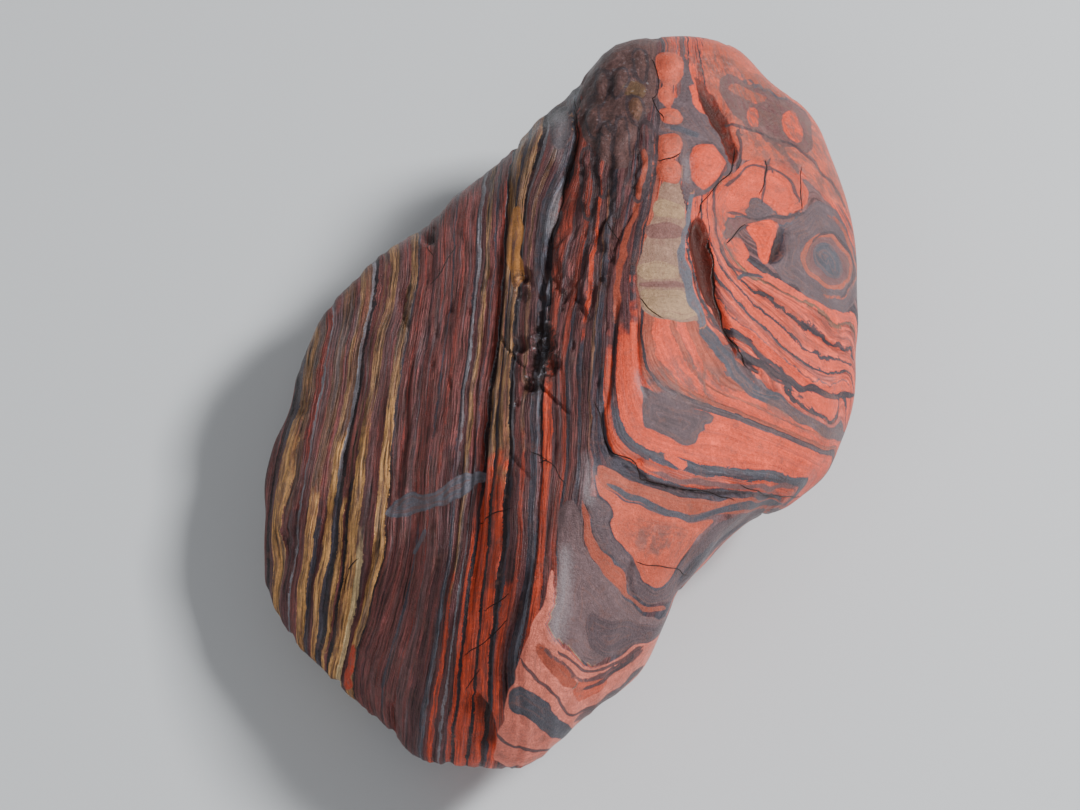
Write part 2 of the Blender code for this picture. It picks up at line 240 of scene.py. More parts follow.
def draw_to_outline(points):
    """Draw the rim in or out, across the sight lines, until the block fills the stone's outline."""
    centre = marks_on_sheet(OUTLINE_CENTRE)
    flat, heights = on_sheet(points)
    offsets = flat - centre
    turns = np.arctan2(offsets[:, 1], offsets[:, 0]) % math.tau
    reaches = np.hypot(offsets[:, 0], offsets[:, 1])
    steps = (turns / math.tau * OUTLINE_STEPS).astype(int) % OUTLINE_STEPS
    block_reach = np.zeros(OUTLINE_STEPS)
    np.maximum.at(block_reach, steps, reaches)
    step_turns = (np.arange(OUTLINE_STEPS) + 0.5) / OUTLINE_STEPS * math.tau
    outline = marks_on_sheet(OUTLINE) - centre
    outline_turns = np.arctan2(outline[:, 1], outline[:, 0]) % math.tau
    outline_reach = np.hypot(outline[:, 0], outline[:, 1])
    pull = np.interp(step_turns, outline_turns, outline_reach, period=math.tau) / block_reach - 1
    narrow = blurred(pull, NARROW_STEPS)
    broad = blurred(pull, BROAD_STEPS)
    broad_pull = np.interp(turns, step_turns, broad, period=math.tau)
    narrow_pull = np.interp(turns, step_turns, narrow - broad, period=math.tau)
    share = np.minimum(reaches / np.interp(turns, step_turns, block_reach, period=math.tau), 1)
    pull = broad_pull * share ** BROAD_PULL + narrow_pull * share ** NARROW_PULL
    shift = offsets * (pull * (EYE_DISTANCE - heights) / EYE_DISTANCE)[:, None]
    return points + shift[:, :1] * RIGHT + shift[:, 1:] * UP


waist = np.linalg.norm(points - WAIST_MIDDLE, axis=1) / WAIST_RADIUS
points = points - normals * (WAIST_DEPTH * np.exp(-(waist ** 2)))[:, None]
points = draw_to_outline(points)
print("drawn to an outline of", len(OUTLINE), "corners")

# %% [markdown]
# ## Swell and layer seams
# Ground faces are never quite flat: they swell where the rock is hard. A sum of long waves gives that.
# On the unseen side the softer layers have weathered back into shallow seams, and they keep clear of
# the underside that the stone rests on.

# %% Swell the faces and press the seams
REST_MARGIN = 4.0
LAYER_DIRECTION = np.array([0.995, -0.082, -0.060])
LAYER_SEAMS = (-46.0, -36.5, -27.0, -15.0, -4.0, 9.0, 22.0, 36.0)
SEAM_HALF_WIDTH = 0.9
SEAM_DEPTH = 0.8
SEAM_SWAY = 1.6
SWELL_HEIGHT = 0.28
SWELL_WAVES = 14
SWELL_LENGTHS = (9.0, 26.0)
SWELL_SEED = 4
SEEN_FROM = 0.1
SEEN_OVER = 0.25


def waves(points, count, lengths, seed):
    """Return a sum of long slanting waves, which mostly stays within 2 either way."""
    draws = np.random.default_rng(seed)
    total = np.zeros(len(points))
    for wave in range(count):
        heading = draws.normal(size=3)
        heading /= np.linalg.norm(heading)
        length = draws.uniform(*lengths)
        phase = draws.uniform(0, math.tau)
        total += np.sin(points @ heading / length * math.tau + phase)
    return total / math.sqrt(count / 2)


above_rest = eased(points[:, 2] / REST_MARGIN)
seen = eased((normals @ OUTWARD - SEEN_FROM) / SEEN_OVER)
rise = waves(points, SWELL_WAVES, SWELL_LENGTHS, SWELL_SEED) * SWELL_HEIGHT * above_rest
points = points + normals * rise[:, None]
layer = points @ LAYER_DIRECTION + rise * SEAM_SWAY
seam_away = np.abs(layer[:, None] - LAYER_SEAMS).min(axis=1)
seam_share = eased(points[:, 2] / REST_MARGIN) * (1 - seen)
seam_press = SEAM_DEPTH * (1 - eased(seam_away / SEAM_HALF_WIDTH)) * seam_share
points = points - normals * seam_press[:, None]
print("swell from", rise.min().round(2), "to", rise.max().round(2), "mm")

# %% [markdown]
# ## Gashes, furrows and ledges
# Two deep gashes, a notch and many thin furrows follow the layers, because water gets in between them.
# Ledges are places where one layer has broken away, so the ground on one side of the line is lower.
# Furrows and ledges are paths on the sheet and the gashes are closed outlines. Every surface point is
# pressed in by how near it lies to a path, or by how deep inside an outline.

# %% List the marks
FURROWS = (
    ("upper gash slit", 0.4, 1.6, ((719, 100), (727, 117), (731, 131), (736, 143), (736, 155),
        (732, 163))),
    ("crack under the upper gash", 0.5, 0.9, ((737, 165), (725, 178), (715, 187), (703, 193),
        (699, 210))),
    ("lower gash, left slit", 0.4, 1.5, ((697, 214), (691, 228), (692, 245), (696, 266), (702, 288),
        (710, 305))),
    ("lower gash, right slit", 0.45, 1.8, ((706, 232), (710, 260), (715, 286), (721, 306), (728, 326),
        (737, 355))),
    ("crack under the lower gash", 0.5, 0.9, ((735, 355), (745, 363), (762, 373))),
    ("elbow groove", 0.4, 1.0, ((601, 400), (603, 420), (606, 440), (613, 455), (630, 462), (642, 474),
        (650, 484))),
    ("ledge groove", 0.4, 0.8, ((645, 483), (670, 488), (690, 491), (715, 497), (735, 494), (760, 495),
        (780, 499))),
    ("middle crack, head", 0.7, 1.5, ((574, 103), (576, 130), (572, 150), (564, 168), (561, 190),
        (558, 212))),
    ("middle crack", 0.7, 1.4, ((559, 205), (553, 228), (549, 240), (547, 262), (541, 294), (541, 320),
        (535, 350), (528, 375))),
    ("striped side seam, back", 0.7, 1.0, ((512, 160), (509, 200), (503, 240), (501, 290), (497, 330),
        (491, 390))),
    ("striped side seam, front", 0.7, 1.0, ((491, 390), (485, 440), (481, 490), (479, 540), (474, 580),
        (468, 620))),
    ("striped side seam, foot", 0.7, 1.0, ((468, 620), (462, 660), (458, 700), (455, 745))),
    ("yellow band slit", 0.6, 1.2, ((408, 283), (403, 300), (403, 318), (407, 328))),
    ("yellow band groove, left", 0.6, 1.0, ((351, 480), (347, 520), (343, 560), (344, 578), (338, 605),
        (325, 662))),
    ("yellow band groove, right", 0.6, 1.1, ((378, 532), (373, 555), (367, 580), (361, 605), (354, 630),
        (341, 685))),
    ("yellow band groove, outer", 0.6, 0.8, ((330, 490), (326, 520), (318, 545), (312, 580), (308, 610),
        (303, 655))),
    ("iron line", 0.6, 0.7, ((383, 258), (374, 300), (366, 335), (359, 370), (348, 430), (343, 460),
        (336, 490))),
    ("long groove", 0.5, 0.6, ((333, 318), (328, 350), (320, 380), (308, 440), (303, 475), (297, 520),
        (291, 560))),
    ("foot hollow", 1.7, 2.4, ((470, 695), (478, 710), (485, 728), (486, 750))),
    ("foot seam", 0.8, 1.2, ((530, 560), (523, 590), (517, 620), (511, 650), (505, 685), (500, 710))),
    ("seam by the ridge", 0.6, 0.9, ((617, 300), (613, 340), (610, 380), (605, 410))),
    ("head crack", 0.45, 0.7, ((638, 195), (632, 210), (622, 228), (615, 245), (603, 262), (600, 285))),
    ("ridge crack", 0.6, 0.9, ((637, 318), (637, 350), (640, 378), (647, 396))),
    ("iron layer, upper", 0.6, 0.7, ((742, 285), (770, 302), (790, 317), (815, 337), (832, 348),
        (853, 357))),
    ("iron layer, lower", 0.7, 0.8, ((735, 320), (760, 345), (780, 360), (800, 378), (815, 392),
        (850, 396))),
    ("slanting crack, upper", 0.35, 0.6, ((498, 333), (510, 352), (525, 369))),
    ("slanting crack, middle", 0.35, 0.6, ((536, 382), (552, 398), (570, 414))),
    ("slanting crack, lower", 0.35, 0.6, ((508, 450), (518, 465), (531, 480))),
    ("left rim crack", 0.5, 1.0, ((276, 525), (290, 548), (305, 568))),
    ("flank crack", 0.5, 0.9, ((633, 562), (629, 580), (634, 600))),
    ("lower rim slit", 0.6, 1.2, ((391, 703), (393, 720), (398, 740))),
)
LEDGES = (
    ("shoulder step", 1.8, 5.0, ((573, 98), (560, 108), (545, 118), (530, 130), (514, 150))),
    ("middle crack step", 0.7, 4.0, ((552, 235), (561, 212), (563, 161), (573, 141), (571, 114))),
    ("elbow ledge", 0.55, 8.0, ((601, 400), (606, 440), (613, 455), (645, 480), (690, 490), (735, 494),
        (788, 503))),
    ("tiger-eye ledge", 0.8, 4.0, ((509, 200), (503, 240), (501, 290), (497, 330), (491, 390), (481, 490),
        (479, 540))),
    ("yellow ledge", 0.7, 3.0, ((378, 532), (373, 555), (367, 580), (361, 605), (354, 630), (341, 685))),
)
PITS = (
    ((612, 72), 1.0, 0.9), ((609, 90), 1.0, 0.9), ((598, 99), 1.0, 1.0), ((604, 117), 1.0, 0.8),
    ((590, 135), 1.1, 0.9), ((637, 132), 0.8, 0.8), ((635, 190), 1.0, 1.2), ((627, 187), 0.8, 0.8),
    ((520, 345), 1.6, 1.2), ((533, 360), 1.8, 1.6), ((548, 345), 1.6, 1.3), ((540, 330), 1.5, 1.2),
    ((530, 385), 1.6, 1.4), ((552, 362), 1.4, 1.1), ((524, 275), 1.4, 1.3), ((545, 300), 1.2, 1.0),
    ((641, 462), 0.7, 1.2), ((644, 477), 0.6, 1.4), ((300, 410), 1.1, 1.2), ((427, 236), 1.6, 1.8),
)
HOLLOWS = (
    ("upper gash", 2.7, 1.1, ((690, 71), (694, 84), (699, 99), (707, 114), (714, 127), (721, 138),
        (726, 150), (731, 165), (738, 155), (736, 142), (730, 129), (726, 115), (718, 99), (709, 88),
        (699, 78))),
    ("lower gash", 2.2, 1.0, ((697, 212), (690, 224), (690, 242), (694, 256), (698, 275), (703, 293),
        (711, 309), (719, 326), (728, 343), (738, 359), (735, 343), (729, 325), (723, 305), (717, 287),
        (713, 262), (709, 240), (703, 221))),
    ("notch by the eye", 2.4, 0.9, ((780, 223), (775, 235), (771, 249), (767, 263), (773, 266),
        (781, 258), (786, 247), (785, 235), (788, 226))),
)
print(len(FURROWS), "furrows,", len(PITS), "pits,", len(HOLLOWS), "hollows and", len(LEDGES), "ledges")

# %% Write how to measure from a mark
CORNER_CUT = 0.25


def smoothed(path, closed=False, rounds=2):
    """Cut the corners of a path in rounds, which turns a few marks into a smooth line."""
    path = np.array(path, dtype=float)
    for cut in range(rounds):
        following = np.roll(path, -1, axis=0) if closed else path[1:]
        before = path if closed else path[:-1]
        step = (following - before) * CORNER_CUT
        cut_path = np.stack([before + step, following - step], axis=1)
        cut_path = cut_path.reshape(-1, 2)
        path = cut_path if closed else np.concatenate([path[:1], cut_path, path[-1:]])
    return path


def in_shape(flat, corners):
    """Return which points lie inside a closed shape on the sheet."""
    inside = np.zeros(len(flat), dtype=bool)
    for start, end in zip(corners, np.roll(corners, -1, axis=0)):
        crosses = (start[1] > flat[:, 1]) != (end[1] > flat[:, 1])
        climb = end[1] - start[1] + (end[1] == start[1])
        reach = (end[0] - start[0]) * (flat[:, 1] - start[1]) / climb + start[0]
        inside ^= crosses & (flat[:, 0] < reach)
    return inside


def edge_depth(flat, corners):
    """Return how deep points lie inside a closed shape, in millimetres, and less than nothing outside."""
    depth = np.full(len(flat), np.inf)
    for start, end in zip(corners, np.roll(corners, -1, axis=0)):
        course = end - start
        offsets = flat - start
        travel = np.clip(offsets @ course / (course @ course), 0, 1)
        depth = np.minimum(depth, np.hypot(*(offsets - travel[:, None] * course).T))
    return np.where(in_shape(flat, corners), depth, -depth)


def along_path(flat, path):
    """Return each point's distance from a path, its side of it, and how far along it lies, 0 to 1."""
    corners = marks_on_sheet(path)
    lengths = np.hypot(*(corners[1:] - corners[:-1]).T)
    starts = np.concatenate([[0.0], np.cumsum(lengths)])
    nearest = np.full(len(flat), np.inf)
    side = np.zeros(len(flat))
    along = np.zeros(len(flat))
    for number, (start, end) in enumerate(zip(corners[:-1], corners[1:])):
        course = (end - start) / lengths[number]
        offsets = flat - start
        travel = np.clip(offsets @ course, 0, lengths[number])
        away = np.hypot(*(offsets - travel[:, None] * course).T)
        closer = away < nearest
        nearest = np.where(closer, away, nearest)
        side = np.where(closer, course[1] * offsets[:, 0] - course[0] * offsets[:, 1], side)
        along = np.where(closer, starts[number] + travel, along)
    return nearest, side, along / starts[-1]


print("a path's corners are cut by", CORNER_CUT, "of each side")

# %% Press the marks into the marked side
FURROW_FLOOR = 0.25
FURROW_WALL = 0.95
FURROW_FADE = 8.0
FURROW_END = 0.25
LEDGE_FADE = 5.0
LEDGE_LIP = 0.5
flat, heights = on_sheet(points)
furrow = np.zeros(len(points))
for name, half_width, deepest, path in FURROWS:
    away, side, along = along_path(flat, path)
    fade = eased(np.minimum(along, 1 - along) * FURROW_FADE + FURROW_END)
    press = 1 - eased((away / half_width - FURROW_FLOOR) / FURROW_WALL)
    furrow = np.maximum(furrow, deepest * fade * press)
for middle, radius, deepest in PITS:
    away = np.hypot(*(flat - marks_on_sheet(middle)).T) / radius
    furrow = np.maximum(furrow, deepest * (1 - eased((away - FURROW_FLOOR) / FURROW_WALL)))
for name, deepest, wall, outline in HOLLOWS:
    hollow = edge_depth(flat, marks_on_sheet(smoothed(outline, closed=True)))
    furrow = np.maximum(furrow, deepest * eased(hollow / wall))
ledge = np.zeros(len(points))
for name, drop, reach, path in LEDGES:
    away, side, along = along_path(flat, path)
    fade = eased(np.minimum(along, 1 - along) * LEDGE_FADE)
    ledge += drop * fade * np.exp(-away / reach) * eased(side / LEDGE_LIP + 0.5)
points = points - normals * ((furrow + ledge) * seen)[:, None]
print("the deepest mark goes down", furrow.max().round(1), "mm")

# %% [markdown]
# ## The bedding
# The layers are the heart of this stone. A single number, the bedding, tells how deep in the pile of
# layers a place lies, and it keeps the same value all along one layer. A few layers are traced on the
# sheet. A smooth field through the whole body is then fitted to the traces, as a spring sheet would be,
# and it gives the bedding everywhere between. On the unseen side the layers go on as upright planes.

# %% Trace the layers
LAYER_TRACES = (
    (289, ((294, 380), (284, 425), (273, 465), (268, 500), (266, 550))),
    (303, ((316, 330), (308, 360), (303, 400), (290, 440), (283, 470), (276, 510), (271, 540))),
    (315, ((331, 318), (323, 365), (315, 400), (309, 440), (303, 470), (298, 505), (292, 550),
        (284, 600))),
    (330, ((346, 305), (338, 350), (330, 400), (320, 440), (311, 485), (305, 540), (298, 590),
        (299, 635))),
    (349, ((360, 330), (354, 370), (349, 400), (340, 445), (330, 490), (325, 535), (317, 580),
        (311, 650))),
    (359, ((379, 270), (367, 345), (358, 405), (348, 455), (338, 520), (334, 575), (327, 620),
        (320, 655))),
    (371, ((396, 265), (383, 330), (377, 360), (371, 400), (364, 445), (354, 510), (350, 550), (344, 620),
        (333, 670))),
    (391, ((408, 300), (396, 360), (391, 400), (384, 475), (378, 535), (372, 575), (363, 615),
        (347, 670))),
    (462, ((482, 195), (477, 270), (470, 340), (462, 400), (454, 480), (452, 540), (444, 590),
        (433, 670))),
    (470, ((493, 178), (485, 265), (478, 335), (470, 400), (466, 480), (461, 540), (450, 592),
        (438, 685))),
    (485, ((505, 190), (497, 300), (488, 375), (480, 440), (477, 500), (470, 560), (462, 620),
        (455, 690))),
    (500, ((519, 170), (508, 300), (502, 360), (498, 400), (492, 470), (487, 540), (482, 590), (473, 650),
        (472, 690))),
    (514, ((527, 200), (521, 260), (513, 335), (512, 400), (511, 460), (508, 510), (502, 570), (497, 620),
        (489, 690))),
    (536, ((547, 285), (545, 320), (537, 385), (535, 430), (537, 470), (534, 520), (530, 570), (521, 625),
        (512, 670))),
    (546, ((565, 200), (556, 260), (551, 320), (547, 400), (546, 450), (545, 500), (542, 545),
        (531, 620))),
    (565, ((608, 56), (600, 80), (597, 140), (590, 200), (583, 255), (564, 345), (563, 380), (565, 435),
        (560, 490), (552, 560))),
    (590, ((638, 42), (624, 70), (616, 110), (610, 160), (604, 200), (600, 260), (592, 330), (590, 400),
        (588, 450))),
    (600, ((650, 42), (638, 80), (631, 120), (626, 165), (618, 210), (610, 260), (605, 320), (601, 400),
        (606, 440), (613, 455), (642, 474), (680, 490), (740, 491), (780, 499))),
    (606, ((612, 320), (606, 400), (615, 447), (640, 462), (680, 477), (730, 482), (790, 490))),
    (615, ((658, 42), (648, 90), (642, 140), (638, 190), (625, 250), (616, 300), (615, 400), (622, 440),
        (660, 452), (697, 468), (760, 472), (805, 485))),
    (648, ((664, 42), (656, 90), (653, 140), (649, 195), (634, 245), (637, 320), (641, 375), (665, 401),
        (725, 413), (785, 435), (838, 458))),
    (675, ((672, 42), (670, 100), (668, 160), (662, 220), (660, 290), (676, 345), (700, 390), (760, 412),
        (820, 440), (842, 445))),
    (690, ((682, 40), (682, 100), (678, 150), (676, 200), (676, 260), (690, 315), (715, 358), (735, 376),
        (770, 400), (820, 430), (845, 438))),
    (700, ((690, 40), (692, 90), (688, 160), (690, 215), (692, 260), (706, 300), (728, 328), (755, 346),
        (783, 368), (825, 395), (850, 397))),
    (715, ((699, 44), (706, 90), (712, 130), (702, 190), (702, 230), (712, 270), (738, 303), (775, 335),
        (803, 365), (852, 375))),
    (730, ((708, 46), (720, 90), (729, 130), (716, 185), (712, 225), (722, 258), (742, 281), (785, 310),
        (825, 342), (852, 356))),
    (738, ((743, 273), (785, 292), (820, 312), (855, 330))),
    (750, ((718, 50), (734, 90), (745, 130), (735, 160), (723, 190), (722, 225), (738, 250), (760, 261),
        (790, 283), (830, 303), (858, 312))),
    (785, ((728, 60), (752, 102), (777, 135), (802, 160), (835, 193), (855, 240))),
    (805, ((735, 52), (765, 92), (795, 128), (825, 168), (851, 220))),
    (825, ((750, 62), (785, 98), (815, 135), (838, 175))),
)
print(len(LAYER_TRACES), "layers traced")

# %% Fit the bedding to the traces
TRACE_SPACING = 2.2
GUIDE_COUNT = 110
GUIDE_BEHIND = -0.45
GUIDE_SEEN = 0.5
FIELD_SOFTNESS = 5.0
FIELD_SLACK = 0.35
LAYER_ZERO = -5.8
CHUNK = 8000


def spaced(path, spacing):
    """Return marks at an even spacing, in millimetres on the sheet, along a path."""
    corners = marks_on_sheet(smoothed(path))
    lengths = np.concatenate([[0.0], np.cumsum(np.hypot(*(corners[1:] - corners[:-1]).T))])
    stops = np.linspace(0, lengths[-1], max(2, int(lengths[-1] / spacing)))
    return np.stack([np.interp(stops, lengths, corners[:, axis]) for axis in (0, 1)], axis=1)


def fit_bedding(points, flat, seen):
    """Fit the smooth bedding field to the traced layers and the unseen planes, and read it off."""
    front = np.flatnonzero(seen > GUIDE_SEEN)
    places = []
    values = []
    for value, path in LAYER_TRACES:
        for mark in spaced(path, TRACE_SPACING):
            nearest = front[np.argmin(((flat[front] - mark) ** 2).sum(axis=1))]
            places.append(points[nearest])
            values.append(value)
    behind = np.flatnonzero(normals @ OUTWARD < GUIDE_BEHIND)
    for number in behind[::max(1, len(behind) // GUIDE_COUNT)]:
        places.append(points[number])
        values.append(SHEET_ZERO[0] + (points[number] @ LAYER_DIRECTION - LAYER_ZERO) / SHEET_STEP)
    places = np.array(places)
    apart = np.linalg.norm(places[:, None] - places[None], axis=2)
    springs = -np.sqrt(apart ** 2 + FIELD_SOFTNESS ** 2) + FIELD_SLACK * np.eye(len(places))
    drift = np.column_stack([np.ones(len(places)), places])
    spare = drift.shape[1]
    system = np.block([[springs, drift], [drift.T, np.zeros((spare, spare))]])
    weights = np.linalg.solve(system, np.concatenate([values, np.zeros(spare)]))
    pulls, level, tilt = np.split(weights, (len(places), len(places) + 1))
    field = np.zeros(len(points))
    for start in range(0, len(points), CHUNK):
        part = points[start:start + CHUNK]
        apart = np.sqrt(((part[:, None] - places[None]) ** 2).sum(axis=2) + FIELD_SOFTNESS ** 2)
        field[start:start + CHUNK] = -apart @ pulls + level + part @ tilt
    return field, len(places)


bedding, trace_points = fit_bedding(points, flat, seen)
row = SHEET_ZERO[1] - flat[:, 1] / SHEET_STEP
print("bedding fitted to", trace_points, "points, from", bedding.min().round(), "to", bedding.max().round())

# %% [markdown]
# ## The palette
# Every colour in the stone is one of a few minerals: red jasper, golden tiger-eye, grey and black iron
# oxide, pale chert, and mixtures of them. Each gets a name, its colour as a paint chart would give it,
# how strongly fine laminae show in it, and how far it stands up or sinks in.

# %% Name the finishes
FINISHES = {
    "maroon": (116, 66, 64, 1.0, 0.0),
    "dark maroon": (88, 54, 56, 0.9, -0.06),
    "black": (40, 34, 38, 0.4, -0.22),
    "brick": (128, 58, 52, 0.9, 0.03),
    "brown": (110, 78, 62, 1.0, 0.03),
    "gold": (200, 148, 92, 1.0, 0.10),
    "dull gold": (140, 104, 72, 1.1, 0.06),
    "cream": (218, 186, 136, 0.6, 0.10),
    "iron blue": (92, 92, 102, 1.0, 0.05),
    # Pale lines at the edges of raised layers: partly worn edges, partly painted highlight.
    "pale highlight line": (122, 118, 124, 0.6, 0.06),
    "ember": (194, 72, 46, 0.7, 0.08),
    "deep ember": (132, 56, 44, 0.8, 0.04),
    "dark iron": (66, 61, 70, 0.6, -0.10),
    "jasper": (218, 82, 57, 0.25, 0.0),
    "streaky jasper": (204, 80, 58, 0.8, 0.0),
    "dull jasper": (166, 80, 62, 0.6, 0.0),
    "grey": (92, 76, 80, 0.5, 0.0),
    "slate": (76, 74, 82, 0.5, 0.0),
    "mauve": (110, 74, 74, 0.8, 0.0),
    "dark grey": (60, 50, 56, 0.5, -0.05),
    "chert": (152, 118, 100, 0.5, 0.0),
    "amber": (166, 112, 62, 0.9, 0.05),
    "flank grey": (112, 90, 92, 0.5, 0.0),
    "olive chert": (168, 136, 106, 0.5, 0.0),
    "pink chert": (128, 90, 84, 0.5, 0.0),
    # Ember brightened as painted light on the lit wall of the notch by the eye.
    "lit wall ember": (226, 78, 48, 0.2, 0.0),
    "pale vein": (98, 97, 106, 0.6, 0.0),
    "pink jasper": (216, 116, 98, 0.5, 0.0),
    # Dark red of the gash floors, darkened further as painted shade.
    "shaded gash red": (112, 42, 32, 0.8, 0.0),
    "soft jasper": (198, 88, 66, 0.5, 0.0),
    "crust": (92, 68, 66, 0.4, 0.0),
    "olive crust": (104, 80, 60, 0.4, 0.0),
}
FINISH_NAMES = list(FINISHES)
CHART_TOP = 255
CHART_KNEE = 0.04045
CHART_SLOPE = 12.92
CHART_OFFSET = 0.055
CHART_POWER = 2.4


def from_chart(level):
    """Turn a paint-chart level, 0 to 255, into the light a surface sends back, 0 to 1."""
    level = level / CHART_TOP
    if level <= CHART_KNEE:
        return level / CHART_SLOPE
    return ((level + CHART_OFFSET) / (1 + CHART_OFFSET)) ** CHART_POWER


def finish_colour(name):
    """Return a finish's linear red, green and blue, with its lamina strength as the fourth value."""
    red, green, blue, lamina, height = FINISHES[name]
    return (from_chart(red), from_chart(green), from_chart(blue), lamina)


def finish_height(name):
    """Return how far a finish stands up, in millimetres."""
    red, green, blue, lamina, height = FINISHES[name]
    return height


print(len(FINISHES), "finishes, from", FINISH_NAMES[0], "to", FINISH_NAMES[-1])

# %% [markdown]
# ## The pile of layers
# Reading across the stone from left to right gives the pile, as a core drilled through it would. Many
# layers change along their length, such as the tiger-eye, which is gold near the head and burnt red
# toward the foot. So each layer has a finish for each end and the row at which it turns.

# %% List the layers
LAYERS = (
    (150, "maroon", "maroon", 450), (164, "dull gold", "gold", 450), (170, "dark maroon", "maroon", 450),
    (184, "brick", "maroon", 450), (192, "iron blue", "iron blue", 450), (197, "maroon", "maroon", 450),
    (214, "gold", "dull gold", 450), (221, "dark maroon", "dark maroon", 450),
    (233, "maroon", "brick", 450), (247, "dark iron", "dark iron", 450), (251, "maroon", "maroon", 450),
    (264, "brown", "gold", 450), (270, "dark maroon", "dark maroon", 450), (280, "maroon", "maroon", 450),
    (291, "black", "black", 450), (294, "dark iron", "maroon", 450), (299, "dull gold", "gold", 430),
    (308, "brown", "maroon", 500), (312, "brick", "dark maroon", 500),
    (317, "pale highlight line", "pale highlight line", 450), (319, "maroon", "maroon", 450), (328, "brown", "gold", 500),
    (338, "maroon", "dark iron", 520), (343, "dull gold", "dark maroon", 470),
    (347, "brown", "gold", 440), (353, "pale highlight line", "dark iron", 480), (355, "black", "black", 450),
    (358, "maroon", "gold", 500), (362, "brown", "maroon", 480), (364, "maroon", "black", 480),
    (367, "dull gold", "gold", 430), (375, "mauve", "cream", 545), (380, "maroon", "dark maroon", 540),
    (387, "dull gold", "gold", 400), (395, "dark iron", "black", 450), (397, "maroon", "maroon", 450),
    (404, "brick", "dark maroon", 480), (406, "maroon", "maroon", 450),
    (414, "dark maroon", "mauve", 430), (418, "maroon", "maroon", 450), (425, "brick", "dark iron", 520),
    (427, "maroon", "maroon", 450), (436, "dark iron", "brick", 450), (438, "maroon", "mauve", 450),
    (445, "brick", "maroon", 470), (448, "maroon", "dark maroon", 450),
    (459, "dark iron", "dark iron", 450), (461, "pale highlight line", "iron blue", 450),
    (464, "dark maroon", "dark maroon", 450), (468, "dull gold", "ember", 588),
    (472, "maroon", "dark maroon", 450), (477, "dark iron", "pale highlight line", 450),
    (479, "maroon", "dark maroon", 450), (483, "brick", "ember", 520),
    (486, "pale highlight line", "dark iron", 450), (487, "black", "black", 450), (490, "dull gold", "ember", 462),
    (499, "dark iron", "black", 470), (502, "dull gold", "ember", 466), (511, "black", "black", 450),
    (514, "pale highlight line", "dark iron", 450), (516, "dark maroon", "ember", 582),
    (522, "brown", "deep ember", 440), (525, "dark maroon", "dark maroon", 450),
    (530, "dark iron", "dark iron", 450), (535, "iron blue", "iron blue", 450),
    (539, "black", "dark maroon", 450), (542, "deep ember", "ember", 385),
    (551, "dark maroon", "dark maroon", 450), (556, "maroon", "maroon", 450),
    (561, "deep ember", "deep ember", 470), (567, "dark iron", "dark iron", 450),
    (570, "dark maroon", "maroon", 450), (575, "maroon", "dark maroon", 450),
    (579, "ember", "dark iron", 330), (582, "dark maroon", "dark maroon", 450),
    (589, "brown", "maroon", 450), (591, "dark iron", "dark iron", 450),
    (597, "dark maroon", "dark iron", 370), (602, "dark maroon", "ember", 352),
    (609, "dark iron", "dark iron", 430), (612, "dark maroon", "slate", 400),
    (616, "dark maroon", "jasper", 330), (622, "dark maroon", "jasper", 330),
    (635, "dark grey", "jasper", 300), (641, "grey", "jasper", 300), (646, "dull jasper", "grey", 380),
    (651, "dark grey", "grey", 380), (654, "dull jasper", "dark grey", 380),
    (656, "dull jasper", "dull jasper", 450), (664, "streaky jasper", "jasper", 290),
    (676, "mauve", "dull jasper", 290), (679, "streaky jasper", "jasper", 290),
    (684, "mauve", "dull jasper", 290), (690, "grey", "grey", 450),
    (694, "streaky jasper", "streaky jasper", 450), (698, "dark grey", "dark grey", 450),
    (700, "jasper", "jasper", 450), (706, "mauve", "dark grey", 450),
    (707, "streaky jasper", "streaky jasper", 450), (713, "dark grey", "dark grey", 450),
    (715, "jasper", "jasper", 450), (722, "dark grey", "dark grey", 450),
    (723, "streaky jasper", "streaky jasper", 450), (729, "dark grey", "dark grey", 450),
    (731, "streaky jasper", "streaky jasper", 450), (737, "brown", "brown", 450),
    (739, "jasper", "jasper", 450), (745, "dark grey", "dark grey", 450), (750, "mauve", "mauve", 450),
    (753, "dark grey", "dark grey", 450), (757, "mauve", "mauve", 450),
    (772, "streaky jasper", "streaky jasper", 450), (784, "mauve", "grey", 450),
    (788, "streaky jasper", "streaky jasper", 450), (797, "grey", "grey", 450),
    (799, "streaky jasper", "streaky jasper", 450), (807, "mauve", "mauve", 450),
    (812, "streaky jasper", "streaky jasper", 450), (822, "dull jasper", "dull jasper", 450),
    (830, "grey", "slate", 450), (834, "streaky jasper", "streaky jasper", 450),
    (850, "mauve", "grey", 450), (857, "streaky jasper", "jasper", 450),
    (878, "dark grey", "dark grey", 450), (882, "jasper", "dull jasper", 450),
    (900, "mauve", "mauve", 450), (915, "streaky jasper", "streaky jasper", 450),
)
print(len(LAYERS), "layers")

# %% [markdown]
# ## Hard layers stand up
# The river grinds soft layers down faster than hard ones, so the striped side is ribbed: gold and red
# quartz layers stand up and dark iron ones lie in thin grooves. The height of each finish is read at
# the bedding, as the colour is, and finer ribs come from waves across the pile. The red cheek is one
# hard mass and stays smooth. Here and there the surface is truly rough, and small slots lie in it.
# On the head an iron crust and a column of jasper lumps swell into knobs, each with a seam around it.

